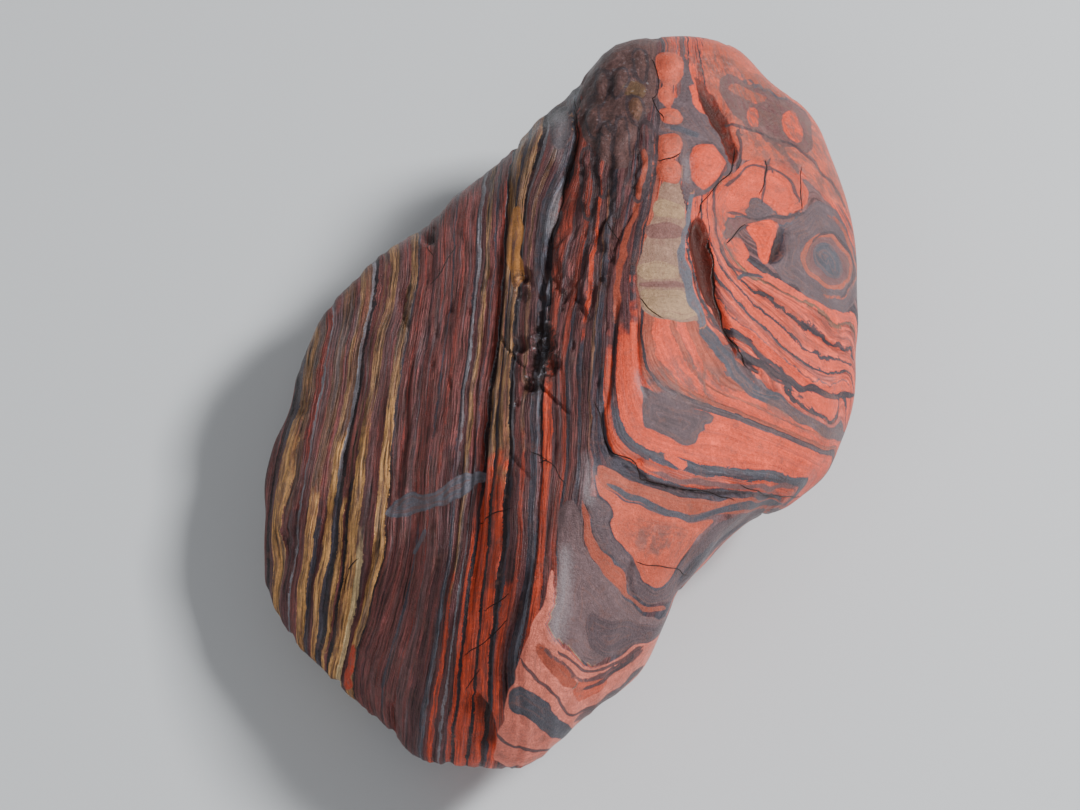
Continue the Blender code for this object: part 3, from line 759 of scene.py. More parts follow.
# %% List the rough grounds and the knobs
ROUGH_GROUNDS = (
    (0.28, ((540, 316), (556, 326), (560, 345), (556, 372), (546, 388), (530, 398), (522, 388),
        (528, 360), (530, 335))),
    (0.22, ((512, 268), (528, 270), (534, 290), (524, 305), (512, 296))),
    (0.11, ((575, 62), (612, 46), (650, 44), (652, 90), (640, 130), (600, 150), (578, 140), (572, 105))),
    (0.08, ((680, 46), (728, 50), (738, 76), (700, 78), (684, 66))),
)
CRUST_KNOBS = (
    (0.68, ((617, 116), (626, 116), (629, 140), (628, 170), (624, 200), (617, 224), (612, 200),
        (611, 160), (613, 135))),
    (0.77, ((640, 122), (650, 122), (652, 150), (648, 182), (640, 206), (634, 202), (636, 175),
        (638, 150))),
    (0.77, ((629, 96), (643, 97), (647, 110), (640, 124), (631, 122), (628, 110))),
    (0.59, ((600, 120), (609, 118), (611, 150), (609, 182), (603, 204), (597, 176), (596, 145))),
    (0.59, ((587, 98), (597, 97), (600, 115), (598, 141), (590, 137), (584, 118))),
    (0.68, ((611, 68), (625, 65), (629, 80), (622, 100), (612, 95))),
    (0.59, ((595, 70), (607, 68), (609, 85), (604, 102), (595, 96))),
    (0.59, ((634, 50), (648, 50), (650, 68), (642, 84), (633, 74))),
    (0.59, ((583, 148), (592, 148), (595, 190), (588, 228), (580, 200))),
)
COLUMN_LUMPS = (
    (0.85, ((657, 58), (661, 54), (672, 54), (681, 57), (683, 68), (681, 80), (676, 85), (664, 85),
        (658, 81), (657, 70))),
    (0.6, ((659, 89), (664, 87), (672, 88), (675, 96), (671, 105), (663, 106), (659, 100))),
    (0.75, ((658, 110), (664, 108), (675, 108), (682, 112), (686, 121), (680, 126), (668, 126),
        (659, 123))),
    (0.9, ((658, 138), (662, 135), (676, 135), (682, 140), (683, 152), (681, 160), (670, 161), (660, 160),
        (657, 150))),
    (0.85, ((658, 163), (664, 162), (676, 162), (682, 164), (682, 174), (678, 182), (668, 184),
        (660, 181), (657, 172))),
)
LOW_KNOBS = (
    (0.85, ((689, 151), (699, 144), (714, 144), (723, 155), (729, 167), (722, 179), (712, 187),
        (699, 188), (690, 176))),
    (0.59, ((604, 205), (615, 214), (611, 262), (603, 294), (599, 255))),
    (0.59, ((586, 240), (596, 238), (594, 290), (586, 330), (580, 290))),
    (0.59, ((562, 230), (574, 225), (574, 270), (564, 310), (556, 280))),
)
print(len(ROUGH_GROUNDS), "rough grounds,", len(CRUST_KNOBS), "crust knobs")

# %% Write how ribs and knobs rise
RIB_EDGE = 1.2
RIB_WAVES = 16
RIB_LENGTHS = (7.0, 26.0)
RIB_DRIFT = 0.16
DRIFT_LENGTHS = (18.0, 50.0)
DRIFT_SHARES = (0.5, 2.0)
RIB_SEED = 11
ROUGH_EDGE = 1.2
KNOB_EDGE = 1.3
KNOB_FOOT = 0.2
KNOB_SEAM = 1.5
KNOB_SEAM_REACH = 0.7


def near_shape(flat, corners, reach):
    """Return the numbers of the points that lie on or near a shape's own rectangle."""
    beyond_low = (flat > corners.min(axis=0) - reach).all(axis=1)
    short_of_high = (flat < corners.max(axis=0) + reach).all(axis=1)
    return np.flatnonzero(beyond_low & short_of_high)


def rib_heights(bedding):
    """Return how far each point's layer stands up."""
    steps = []
    heights = []
    for number, (start, upper, lower, turn) in enumerate(LAYERS[:-1]):
        steps += [start + RIB_EDGE, LAYERS[number + 1][0] - RIB_EDGE]
        heights += [(finish_height(upper) + finish_height(lower)) / 2] * 2
    return np.interp(bedding, steps, heights)


def ribs(bedding, points):
    """Return fine ribs: waves across the pile that drift slowly along it."""
    draws = np.random.default_rng(RIB_SEED)
    drift = waves(points, RIB_WAVES, DRIFT_LENGTHS, RIB_SEED + 1) * RIB_DRIFT
    total = np.zeros(len(points))
    for wave in range(RIB_WAVES):
        length = draws.uniform(*RIB_LENGTHS)
        turns = bedding / length + drift * draws.uniform(*DRIFT_SHARES) + draws.uniform(0, 1)
        total += np.sin(turns * math.tau)
    return total / math.sqrt(RIB_WAVES / 2)


def rough_share(flat):
    """Return how rough the ground is at each point, as a height."""
    share = np.zeros(len(flat))
    for height, outline in ROUGH_GROUNDS:
        corners = marks_on_sheet(smoothed(outline, closed=True))
        near = near_shape(flat, corners, ROUGH_EDGE)
        inner = eased(edge_depth(flat[near], corners) / ROUGH_EDGE + 0.5)
        share[near] = np.maximum(share[near], height * inner)
    return share


def knob_heights(flat):
    """Return how far the knobs on the head swell at each point, and the seams round them."""
    swell = np.zeros(len(flat))
    seam = np.zeros(len(flat))
    for height, outline in CRUST_KNOBS + COLUMN_LUMPS + LOW_KNOBS:
        corners = marks_on_sheet(smoothed(outline, closed=True))
        near = near_shape(flat, corners, KNOB_EDGE)
        depth = edge_depth(flat[near], corners)
        swell[near] = np.maximum(swell[near], height * eased(depth / KNOB_EDGE + KNOB_FOOT))
        close = 1 - eased(np.abs(depth) / KNOB_SEAM_REACH)
        seam[near] = np.maximum(seam[near], KNOB_SEAM * close)
    return swell, seam


print("ribs are", RIB_LENGTHS, "steps of bedding wide")

# %% Write how small slots are scattered
SLOT_GROUNDS = (
    (60, 1.0, ((578, 62), (612, 48), (648, 46), (650, 120), (640, 200), (600, 225), (572, 190),
        (576, 110))),
    (34, 0.7, ((545, 225), (620, 225), (608, 300), (600, 420), (545, 330))),
    (24, 0.55, ((400, 250), (500, 190), (480, 380), (390, 400))),
    (22, 0.5, ((300, 360), (390, 270), (380, 460), (290, 560), (280, 470))),
    (18, 0.45, ((385, 470), (470, 500), (450, 690), (380, 690))),
    (14, 0.5, ((520, 330), (560, 330), (560, 480), (500, 520), (500, 420))),
)
SLOT_LENGTHS = (5.0, 16.0)
SLOT_HALF_WIDTHS = (0.3, 0.5)
SLOT_COURSE = (-0.13, 1.0)
SLOT_TURN = 0.12
SLOT_BEND = 0.8
SLOT_DEPTHS = (0.5, 1.2)
SLOT_FADE = 3
SLOT_END = 0.2
SLOT_WALL = 1.3
SLOT_REACH = 1.0
SLOT_SEED = 31


def press_slots(flat):
    """Scatter small slots along the layers and return how deep they press."""
    draws = np.random.default_rng(SLOT_SEED)
    press = np.zeros(len(flat))
    for count, deepest, outline in SLOT_GROUNDS:
        corners = marks_on_sheet(outline)
        low = np.array(outline).min(axis=0)
        high = np.array(outline).max(axis=0)
        for slot in range(count):
            middle = draws.uniform(low, high)
            length = draws.uniform(*SLOT_LENGTHS)
            half_width = draws.uniform(*SLOT_HALF_WIDTHS)
            course = np.array(SLOT_COURSE) + (draws.normal() * SLOT_TURN, 0)
            depth = deepest * draws.uniform(*SLOT_DEPTHS)
            if not in_shape(marks_on_sheet([middle]), corners)[0]:
                continue
            path = np.array([middle - course * length / 2, middle, middle + course * length / 2])
            path[1, 0] += draws.normal() * SLOT_BEND
            near = near_shape(flat, marks_on_sheet(path), SLOT_REACH)
            away, side, along = along_path(flat[near], path)
            fade = eased(np.minimum(along, 1 - along) * SLOT_FADE + SLOT_END)
            wall = 1 - eased(away / half_width / SLOT_WALL)
            press[near] = np.maximum(press[near], depth * fade * wall)
    return press


print("slots are tried at", sum(ground[0] for ground in SLOT_GROUNDS), "places")

# %% Raise the ribs and knobs and press the slots
RIB_HEIGHT = 0.07
SMOOTH_FROM = 604.0
SMOOTH_OVER = 14.0
SMOOTH_SHARE = 0.25
ROUGH_WAVES = 26
ROUGH_LENGTHS = (1.8, 6.0)
ROUGH_SEED = 23
KNOB_WAVES = 14
KNOB_LENGTHS = (2.0, 7.0)
KNOB_UNREST = 0.3
KNOB_SEEDS = (51, 52)
KNOB_SEAM_PRESS = 0.2
striped = SMOOTH_SHARE + (1 - SMOOTH_SHARE) * (1 - eased((bedding - SMOOTH_FROM) / SMOOTH_OVER + 0.5))
rib_rise = (rib_heights(bedding) + ribs(bedding, points) * RIB_HEIGHT) * striped
rib_rise = rib_rise * eased(points[:, 2] / REST_MARGIN)
rough = rough_share(flat) * seen
slots = press_slots(flat) * seen
unrest = [waves(points, KNOB_WAVES, KNOB_LENGTHS, seed) for seed in KNOB_SEEDS]
knobs, knob_seams = knob_heights(flat + np.stack(unrest, axis=1) * KNOB_UNREST)
knobs = (knobs - knob_seams * KNOB_SEAM_PRESS) * seen
roughness = rough * waves(points, ROUGH_WAVES, ROUGH_LENGTHS, ROUGH_SEED)
points = points + normals * (rib_rise + knobs + roughness - slots)[:, None]
furrow = np.maximum(furrow, np.maximum(slots, knob_seams))
print("ribs from", rib_rise.min().round(2), "to", rib_rise.max().round(2), "mm")

# %% [markdown]
# ## Lenses, loops and patches
# Not all of the stone lies in neat layers. On the red side the rock closed round knots into lenses, an
# eye and a great loop. A closed shape can't be part of an open pile, so each is drawn on the sheet as a
# patch of one finish. Patches come in four coats, and a later coat covers an earlier one, which gives
# ringed lenses. For every point the distance to the nearest edge is kept, not a yes or no, so the edge
# stays crisp however large the triangles are. The photo doesn't show the far side, so the coats end in
# a wavering line there and the plain pile goes on.

# %% Draw the patches
PATCHES = (
    (1, "chert", ((662, 178), (676, 176), (684, 190), (687, 206), (682, 240), (683, 268), (691, 300),
        (700, 324), (680, 321), (655, 318), (641, 310), (637, 290), (637, 262), (644, 236), (654, 206))),
    (1, "grey", ((640, 384), (643, 400), (645, 427), (652, 430), (660, 437), (671, 441), (695, 446),
        (698, 438), (697, 432), (705, 430), (703, 424), (712, 424), (716, 414), (690, 406), (665, 399),
        (650, 388))),
    (1, "grey", ((583, 500), (589, 515), (592, 530), (600, 546), (612, 557), (622, 568), (629, 577),
        (630, 590), (637, 601), (653, 605), (667, 601), (677, 590), (684, 578), (693, 562), (706, 548),
        (724, 535), (745, 524), (775, 514), (790, 506), (744, 515), (722, 522), (705, 533), (692, 548),
        (682, 565), (674, 580), (662, 591), (650, 590), (642, 582), (639, 570), (632, 558), (621, 547),
        (611, 536), (609, 522), (613, 512), (605, 501), (596, 494))),
    (1, "flank grey", ((560, 500), (578, 504), (581, 540), (590, 557), (606, 573), (618, 589), (632, 609),
        (655, 621), (668, 612), (663, 627), (650, 637), (630, 646), (610, 656), (598, 667), (582, 660),
        (570, 647), (556, 638), (550, 625), (556, 600), (560, 570), (556, 540))),
    (1, "pink jasper", ((552, 560), (545, 600), (533, 625), (524, 645), (518, 662), (517, 682),
        (506, 690), (502, 705), (503, 720), (496, 735), (494, 768), (533, 766), (570, 747), (595, 718),
        (622, 700), (645, 680), (660, 655), (668, 632), (655, 638), (640, 641), (625, 655), (605, 668),
        (590, 668), (575, 655), (560, 645), (550, 630), (556, 600))),
    (1, "grey", ((776, 229), (787, 221), (799, 214), (815, 201), (826, 203), (838, 213), (848, 232),
        (857, 255), (861, 275), (859, 300), (850, 312), (834, 309), (816, 302), (800, 291), (785, 281),
        (768, 268), (776, 258), (782, 244))),
    (1, "grey", ((679, 52), (688, 60), (690, 84), (700, 104), (712, 122), (724, 140), (733, 158),
        (728, 176), (716, 190), (698, 193), (688, 204), (683, 196), (683, 170), (680, 140), (660, 138),
        (652, 128), (657, 104), (656, 92), (662, 96), (680, 96))),
    (1, "mauve", ((722, 214), (730, 208), (742, 214), (756, 200), (768, 200), (778, 214), (796, 214),
        (800, 220), (786, 228), (776, 222), (757, 220), (745, 224), (740, 236), (724, 240), (718, 228))),
    (1, "streaky jasper", ((706, 205), (716, 196), (730, 172), (748, 160), (772, 158), (792, 166),
        (806, 184), (810, 198), (798, 212), (778, 216), (740, 220), (722, 240), (716, 252), (710, 236))),
    (1, "dull jasper", ((596, 460), (612, 468), (640, 484), (680, 495), (704, 502), (742, 498),
        (790, 502), (770, 512), (735, 514), (700, 518), (668, 514), (630, 500), (606, 486), (597, 474))),
    (2, "crust", ((578, 60), (590, 20), (622, 4), (656, 8), (655, 38), (659, 60), (656, 86), (652, 112),
        (642, 118), (636, 140), (630, 160), (622, 172), (606, 165), (592, 150), (582, 138), (577, 118),
        (580, 92))),
    (3, "olive crust", ((621, 84), (632, 79), (646, 84), (645, 94), (638, 99), (628, 97))),
    (4, "brown", ((632, 99), (644, 100), (647, 112), (642, 122), (634, 119), (630, 108))),
    (2, "amber", ((507, 224), (511, 214), (516, 205), (522, 209), (521, 222), (523, 238), (518, 250),
        (521, 264), (519, 280), (513, 290), (509, 279), (506, 262), (505, 242))),
    (2, "dark grey", ((548, 108), (558, 104), (570, 106), (572, 125), (570, 145), (562, 152), (552, 140),
        (548, 124))),
    (2, "soft jasper", ((594, 468), (604, 484), (620, 497), (640, 506), (660, 514), (680, 519),
        (700, 521), (718, 520), (704, 531), (690, 547), (681, 563), (673, 578), (661, 589), (650, 588),
        (643, 581), (640, 570), (633, 557), (622, 546), (612, 535), (611, 522), (615, 512), (606, 500),
        (598, 490))),
    (2, "dull jasper", ((581, 499), (587, 512), (590, 530), (598, 547), (611, 560), (621, 571),
        (627, 580), (628, 591), (636, 604), (652, 608), (668, 604), (656, 614), (640, 611), (627, 599),
        (612, 583), (600, 567), (589, 553), (583, 538), (582, 518))),
    (2, "dull jasper", ((801, 256), (803, 244), (810, 237), (822, 232), (836, 236), (846, 247),
        (852, 264), (852, 281), (844, 290), (830, 289), (816, 281), (806, 270))),
    (2, "jasper", ((690, 151), (699, 145), (713, 145), (722, 155), (728, 166), (722, 178), (712, 186),
        (700, 187), (691, 176))),
    (2, "jasper", ((726, 204), (729, 188), (737, 177), (750, 170), (765, 168), (780, 174), (791, 185),
        (796, 200), (792, 213), (778, 214), (772, 205), (762, 203), (757, 196), (748, 199), (747, 208),
        (738, 215), (729, 211))),
    # Painted light: the lit left wall of the notch by the eye and the ember beside it.
    (2, "lit wall ember", ((744, 226), (757, 220), (777, 222), (776, 240), (770, 264), (761, 263),
        (756, 244), (750, 236))),
    (2, "jasper", ((724, 237), (738, 238), (748, 246), (750, 256), (746, 262), (749, 271), (738, 262),
        (729, 250))),
    (2, "jasper", ((683, 82), (692, 86), (700, 102), (708, 116), (700, 112), (690, 100))),
    (2, "soft jasper", ((700, 34), (704, 62), (706, 82), (716, 100), (726, 116), (732, 134), (738, 150),
        (744, 161), (760, 160), (780, 159), (796, 164), (812, 180), (828, 202), (870, 220), (870, 120),
        (800, 30), (740, 20))),
    (2, "slate", ((505, 704), (507, 692), (516, 687), (526, 688), (535, 692), (547, 700), (553, 714),
        (562, 722), (571, 724), (574, 734), (564, 740), (553, 738), (541, 731), (534, 722), (531, 717),
        (522, 713), (515, 711))),
    (2, "dull jasper", ((538, 640), (550, 650), (563, 665), (576, 680), (581, 690), (570, 690),
        (557, 681), (546, 670), (538, 656))),
    (2, "soft jasper", ((571, 690), (576, 682), (588, 682), (602, 677), (610, 682), (600, 692),
        (588, 700), (576, 702))),
    (2, "grey", ((585, 612), (608, 618), (632, 622), (656, 625), (670, 612), (664, 634), (648, 641),
        (628, 650), (608, 660), (594, 652), (584, 634))),
    (2, "olive chert", ((654, 200), (668, 201), (684, 207), (686, 221), (668, 219), (650, 214))),
    (2, "pink chert", ((646, 222), (665, 221), (684, 227), (682, 238), (662, 236), (642, 234))),
    (2, "olive chert", ((638, 262), (658, 261), (684, 266), (685, 279), (664, 281), (638, 277))),
    (2, "pink chert", ((638, 279), (662, 283), (686, 282), (688, 288), (664, 288), (638, 285))),
    (2, "olive chert", ((638, 288), (660, 290), (690, 291), (699, 318), (680, 319), (656, 316),
        (642, 306))),
    (3, "mauve", ((805, 256), (807, 246), (814, 240), (824, 236), (835, 240), (844, 250), (849, 265),
        (848, 280), (841, 286), (830, 285), (817, 277), (809, 268))),
    (3, "mauve", ((722, 76), (734, 74), (746, 82), (760, 84), (774, 94), (790, 99), (803, 108),
        (813, 126), (815, 148), (804, 154), (797, 148), (786, 150), (774, 141), (766, 143), (757, 133),
        (748, 134), (742, 122), (731, 116), (727, 104), (718, 92))),
    (4, "jasper", ((783, 113), (790, 110), (798, 116), (804, 130), (802, 142), (794, 144), (786, 136),
        (781, 124))),
    (4, "jasper", ((745, 108), (752, 106), (759, 113), (760, 124), (754, 130), (747, 122))),
    (4, "dull jasper", ((728, 84), (740, 84), (756, 92), (770, 100), (762, 104), (746, 99), (732, 94))),
    (3, "grey", ((748, 198), (757, 194), (766, 203), (776, 214), (764, 219), (750, 219), (744, 212),
        (750, 206))),
    # Painted shade: the shaded right wall of the notch by the eye.
    (4, "dark iron", ((782, 223), (777, 236), (775, 250), (771, 264), (776, 264), (784, 255), (787, 244),
        (787, 228))),
    # The gash floors: their dark red with painted shade.
    (4, "shaded gash red", ((690, 71), (694, 84), (699, 99), (707, 114), (714, 127), (721, 138), (726, 150),
        (731, 165), (738, 155), (736, 142), (730, 129), (726, 115), (718, 99), (709, 88), (699, 78))),
    (4, "shaded gash red", ((697, 214), (691, 225), (691, 242), (695, 256), (699, 275), (704, 293), (711, 309),
        (719, 326), (728, 343), (738, 359), (735, 343), (729, 325), (723, 305), (717, 287), (713, 262),
        (709, 240), (703, 221))),
    (4, "slate", ((812, 250), (818, 244), (828, 243), (838, 250), (844, 264), (843, 278), (834, 280),
        (822, 274), (814, 263))),
    (3, "pale vein", ((383, 515), (390, 504), (399, 497), (409, 490), (418, 493), (427, 491), (434, 490),
        (440, 486), (447, 482), (455, 478), (460, 474), (465, 471), (472, 471), (479, 467), (486, 470),
        (481, 479), (474, 483), (468, 490), (462, 496), (454, 499), (447, 504), (438, 504), (427, 509),
        (418, 509), (406, 515), (398, 515), (391, 518))),
)
PATCHES += tuple((3, "soft jasper", outline) for height, outline in COLUMN_LUMPS)
print(len(PATCHES), "patches")

# %% Draw the strips
STRIPS = (
    (3, "slate", 3.6, ((608, 480), (620, 489), (640, 499), (655, 506), (671, 512), (685, 517), (700, 518),
        (716, 512), (735, 508), (748, 506), (785, 504))),
    (3, "dull jasper", 3.2, ((644, 146), (643, 180), (637, 203), (630, 225), (624, 250), (619, 275),
        (616, 300), (614, 322))),
    (3, "dull jasper", 1.5, ((703, 350), (706, 372), (703, 400))),
    (3, "pale vein", 2.2, ((695, 188), (691, 202), (689, 216), (684, 230), (683, 246))),
    (3, "pale vein", 4.4, ((683, 236), (684, 262), (689, 290), (698, 318), (710, 338), (722, 356),
        (736, 376))),
    (3, "grey", 5.5, ((752, 388), (772, 400), (798, 416), (824, 430), (856, 440))),
    (3, "dark grey", 3.4, ((738, 350), (764, 366), (786, 378), (810, 390), (836, 396), (858, 394))),
    (3, "slate", 6.0, ((700, 322), (714, 342), (728, 362), (742, 382), (758, 394), (786, 404))),
    (3, "mauve", 2.4, ((540, 645), (559, 660), (571, 674), (584, 683), (602, 678), (620, 668),
        (644, 648))),
    (3, "mauve", 2.0, ((574, 722), (596, 710), (618, 692), (640, 668))),
    (3, "grey", 2.2, ((690, 150), (685, 164), (686, 180), (694, 192))),
    (4, "slate", 3.0, ((668, 130), (670, 129), (685, 131), (700, 136))),
    (4, "dull jasper", 1.3, ((817, 252), (822, 248), (830, 254), (838, 266), (839, 275), (831, 273),
        (822, 265), (817, 255))),
    (3, "mauve", 2.2, ((762, 120), (770, 132), (776, 148), (790, 160), (800, 176))),
    (3, "dull jasper", 3.4, ((716, 56), (740, 66), (764, 84), (790, 106))),
    (3, "dull jasper", 1.6, ((826, 212), (841, 227), (850, 244), (856, 266), (854, 288), (843, 298),
        (822, 295))),
    (3, "dark grey", 2.6, ((560, 205), (552, 235), (547, 262), (541, 294))),
    (3, "slate", 2.0, ((738, 282), (742, 276), (752, 274), (762, 278))),
    (3, "mauve", 2.6, ((648, 470), (670, 478), (700, 483), (740, 487), (800, 486))),
    (3, "jasper", 4.6, ((664, 456), (676, 461), (688, 465))),
    (3, "ember", 4.0, ((355, 644), (350, 662), (347, 690))),
    (3, "iron blue", 2.0, ((425, 530), (419, 542), (412, 556))),
)
print(len(STRIPS), "strips")

# %% Lay the patches and strips on in coats
COATS = 4
PATCH_REACH = 3.0


def keep_deepest(depths, finishes, near, depth, finish):
    """Write a shape's depth and finish into a coat at the points that lie deepest in this shape."""
    deeper = depth > depths[near]
    depths[near[deeper]] = depth[deeper]
    finishes[near[deeper]] = FINISH_NAMES.index(finish)


def lay_patches(flat):
    """Return each coat's depth and finish number at every point."""
    depths = np.full((COATS, len(flat)), -PATCH_REACH)
    finishes = np.zeros((COATS, len(flat)))
    for coat, finish, outline in PATCHES:
        corners = marks_on_sheet(smoothed(outline, closed=True, rounds=1))
        near = near_shape(flat, corners, PATCH_REACH)
        depth = edge_depth(flat[near], corners)
        keep_deepest(depths[coat - 1], finishes[coat - 1], near, depth, finish)
    for coat, finish, half_width, path in STRIPS:
        path = smoothed(path)
        near = near_shape(flat, marks_on_sheet(path), PATCH_REACH)
        away, side, along = along_path(flat[near], path)
        fade = eased(np.minimum(along, 1 - along) * FURROW_FADE + FURROW_END)
        depth = half_width * SHEET_STEP * fade - away
        keep_deepest(depths[coat - 1], finishes[coat - 1], near, depth, finish)
    return depths, finishes


SIGHT_LIMIT = -0.35
WARP_HEIGHT = 0.22
SIGHT_SCALE = 6.0
SIGHT_WAVER = 1.6
SIGHT_SEED = 43
WARP_LENGTHS = (3.0, 12.0)
WARP_WAVES = 14
WARP_SEEDS = (41, 42)
warp = np.stack([waves(points, WARP_WAVES, WARP_LENGTHS, seed) for seed in WARP_SEEDS], axis=1)
warped = flat + warp * WARP_HEIGHT
coat_depths, coat_finishes = lay_patches(warped)
wrapped = (normals @ OUTWARD - SIGHT_LIMIT) * SIGHT_SCALE
wrapped += waves(points, WARP_WAVES, WARP_LENGTHS, SIGHT_SEED) * SIGHT_WAVER
coat_depths = np.minimum(coat_depths, wrapped)
print("the coats cover", (coat_depths.max(axis=0) > 0).mean().round(2), "of the points")

# %% [markdown]
# ## Rubbed places with painted sheen, hair cracks and veinlets
# Where the stone knocks against others its ridge is bruised pale, in broken flecks, and the same places
# carry a painted pale sheen where the polished ridge shines. Hair cracks cross the layers where the
# rock was strained, and thin veinlets of iron run between the lenses and round the knobs of the crust.
# Both are thinner than a triangle, so each point keeps its distance to the nearest line with a sign for
# the side, and the material draws the line where that number passes nothing. Clouded places are marked
# in the same way as the rubbed ones, for the haze to lie on.

# %% Draw the rubbed places with painted sheen, hair cracks and veinlets
# Pale places on the ridge and the shoulder knob: partly real wear, partly painted sheen.
RUB_SHEEN_PLACES = (
    ((583, 450), (590, 455), (595, 480), (593, 503), (584, 506), (579, 490), (581, 468)),
    ((560, 545), (573, 548), (571, 580), (568, 612), (560, 642), (551, 638), (555, 610), (558, 580)),
    ((635, 370), (642, 374), (648, 391), (643, 398), (637, 388)),
    ((552, 112), (566, 112), (568, 140), (562, 165), (556, 160), (556, 135)),
    ((553, 190), (561, 190), (556, 222), (550, 236), (548, 222)),
    ((686, 158), (692, 160), (692, 180), (687, 180)),
)
HAIR_CRACKS = (
    ((466, 655), (478, 646), (490, 638), (503, 622)), ((486, 607), (495, 603), (505, 596)),
    ((478, 522), (492, 514), (508, 508)), ((470, 690), (476, 678), (481, 672)),
    ((742, 228), (735, 236), (727, 241)), ((800, 170), (802, 188), (800, 207)),
    ((766, 162), (765, 176), (760, 190)), ((610, 226), (614, 233), (619, 240)),
    ((640, 300), (650, 309), (662, 317)), ((641, 564), (660, 566), (676, 570), (688, 576)),
    ((356, 562), (346, 572), (341, 592)), ((540, 462), (548, 460), (556, 470), (563, 481)),
    ((430, 236), (427, 245), (432, 254)), ((433, 283), (445, 265), (455, 248)),
    ((548, 462), (540, 455), (530, 452)), ((660, 160), (672, 162), (680, 158)),
    ((596, 405), (600, 425), (606, 442), (614, 452), (628, 457), (638, 462), (641, 471), (646, 481)),
    ((646, 481), (662, 484), (680, 488), (700, 491), (716, 494), (734, 500)),
    ((743, 485), (752, 489), (764, 494), (780, 498), (800, 496)),
    ((694, 222), (692, 240), (697, 268), (704, 292), (712, 308)),
    ((708, 240), (713, 270), (719, 296), (728, 322), (737, 350)),
    ((735, 150), (733, 164), (727, 178), (716, 190), (704, 197), (699, 212)),
    ((651, 92), (655, 106), (661, 120)), ((655, 62), (659, 78), (658, 92)),
    ((574, 104), (577, 130), (572, 150), (564, 168), (561, 190), (557, 212), (550, 238)),
    ((737, 350), (748, 362), (758, 372)),
)
VEINLETS = (
    ((657, 96), (658, 112), (657, 135), (656, 160), (655, 178), (650, 195), (643, 215), (638, 240),
        (634, 262), (632, 285)),
    ((491, 722), (498, 740), (506, 746), (522, 748), (535, 752), (548, 750)),
    ((522, 661), (535, 679), (553, 691), (561, 708), (571, 717), (590, 711), (614, 694), (642, 668)),
    ((585, 690), (600, 684), (616, 672), (632, 658)),
    ((728, 124), (757, 133), (789, 145), (809, 156), (826, 176), (845, 206)),
    ((726, 166), (720, 180), (714, 200), (713, 222), (718, 244), (726, 262), (740, 274), (756, 274)),
    ((728, 186), (737, 174), (750, 167), (765, 165), (781, 171), (793, 183), (799, 200)),
    ((746, 228), (738, 234), (728, 240)), ((738, 134), (741, 146), (739, 160)),
    ((700, 300), (712, 318), (730, 330), (752, 345), (768, 362), (790, 378), (820, 392)),
    ((768, 160), (764, 178), (762, 198)), ((733, 214), (756, 219), (780, 217), (801, 214)),
    ((640, 478), (662, 484), (688, 489), (712, 493), (750, 492)),
    ((812, 240), (824, 232), (838, 236), (849, 250), (855, 270), (853, 286), (844, 295)),
    ((706, 318), (724, 334), (744, 352), (764, 370), (788, 386)),
    ((560, 652), (574, 662), (588, 672), (604, 672), (624, 660), (640, 648)),
)
CLOUDED_PLACES = (
    ((704, 60), (740, 66), (792, 98), (836, 150), (858, 215), (826, 200), (790, 168), (756, 160),
        (736, 134), (712, 96)),
    ((655, 362), (700, 356), (745, 392), (700, 406), (655, 392)),
    ((622, 524), (690, 524), (676, 556), (640, 560)), ((708, 205), (736, 212), (742, 262), (720, 262)),
    ((740, 395), (846, 420), (838, 452), (790, 430)),
    ((654, 48), (700, 44), (736, 54), (736, 78), (700, 82), (686, 60)),
)
RIDGE = (
    (655, 38), (648, 90), (640, 150), (622, 230), (608, 300), (600, 400), (592, 450), (578, 500),
    (560, 560), (540, 620), (520, 670), (500, 720), (490, 765),
)
print(len(HAIR_CRACKS), "hair cracks and", len(VEINLETS), "veinlets")

# %% Measure from the places and lines
CRACK_REACH = 2.0
RIDGE_OVER = 3.0
CLOUDED_OVER = 3.0


def mark_places(flat, places):
    """Return how deep each point lies in any of some places, in millimetres."""
    inside = np.full(len(flat), -PATCH_REACH)
    for outline in places:
        corners = marks_on_sheet(smoothed(outline, closed=True))
        near = near_shape(flat, corners, PATCH_REACH)
        inside[near] = np.maximum(inside[near], edge_depth(flat[near], corners))
    return inside


def mark_lines(flat, paths):
    """Return each point's signed distance to the nearest of some thin lines, and its plain distance."""
    nearest = np.full(len(flat), CRACK_REACH)
    sides = np.full(len(flat), CRACK_REACH)
    for path in paths:
        path = smoothed(path)
        near = near_shape(flat, marks_on_sheet(path), CRACK_REACH)
        away, side, along = along_path(flat[near], path)
        closer = near[away < nearest[near]]
        sides[closer] = (np.sign(side) * away)[away < nearest[near]]
        nearest[closer] = away[away < nearest[near]]
    return sides, nearest


# How deep each point lies in the worn places that also carry painted sheen.
rub_sheen = mark_places(warped, RUB_SHEEN_PLACES)
clouded = eased(mark_places(warped, CLOUDED_PLACES) / CLOUDED_OVER + 0.5) * seen
ridge_away, ridge_side = along_path(flat, RIDGE)[:2]
cheek = eased(np.sign(ridge_side) * -ridge_away / RIDGE_OVER + 0.5)
crack_side, crack_away = mark_lines(warped, HAIR_CRACKS)
knob_rims = tuple(outline + outline[:1] for height, outline in CRUST_KNOBS)
vein_side, vein_away = mark_lines(warped, VEINLETS + knob_rims)
print((crack_away < CRACK_REACH).sum(), "points lie near a hair crack")

# %% [markdown]
# ## The mesh
# The pressed points become the mesh. Points below the ground are lifted to it, which wears the resting
# flat. The bedding, the rows and the coats are stored on the points, so that the material can read them.

# %% Make the stone
RELAX_ROUNDS = 3
RELAX_DEPTH = 0.5
RELAX_SHARE = 0.6


def relaxed(points, edges, share):
    """Even out the points along the furrow walls, where the triangles are drawn out."""
    for relax_round in range(RELAX_ROUNDS):
        totals = np.zeros_like(points)
        counts = np.zeros(len(points))
        for first, second in ((0, 1), (1, 0)):
            np.add.at(totals, edges[:, first], points[edges[:, second]])
            np.add.at(counts, edges[:, first], 1)
        points = points + (totals / counts[:, None] - points) * share[:, None]
    return points


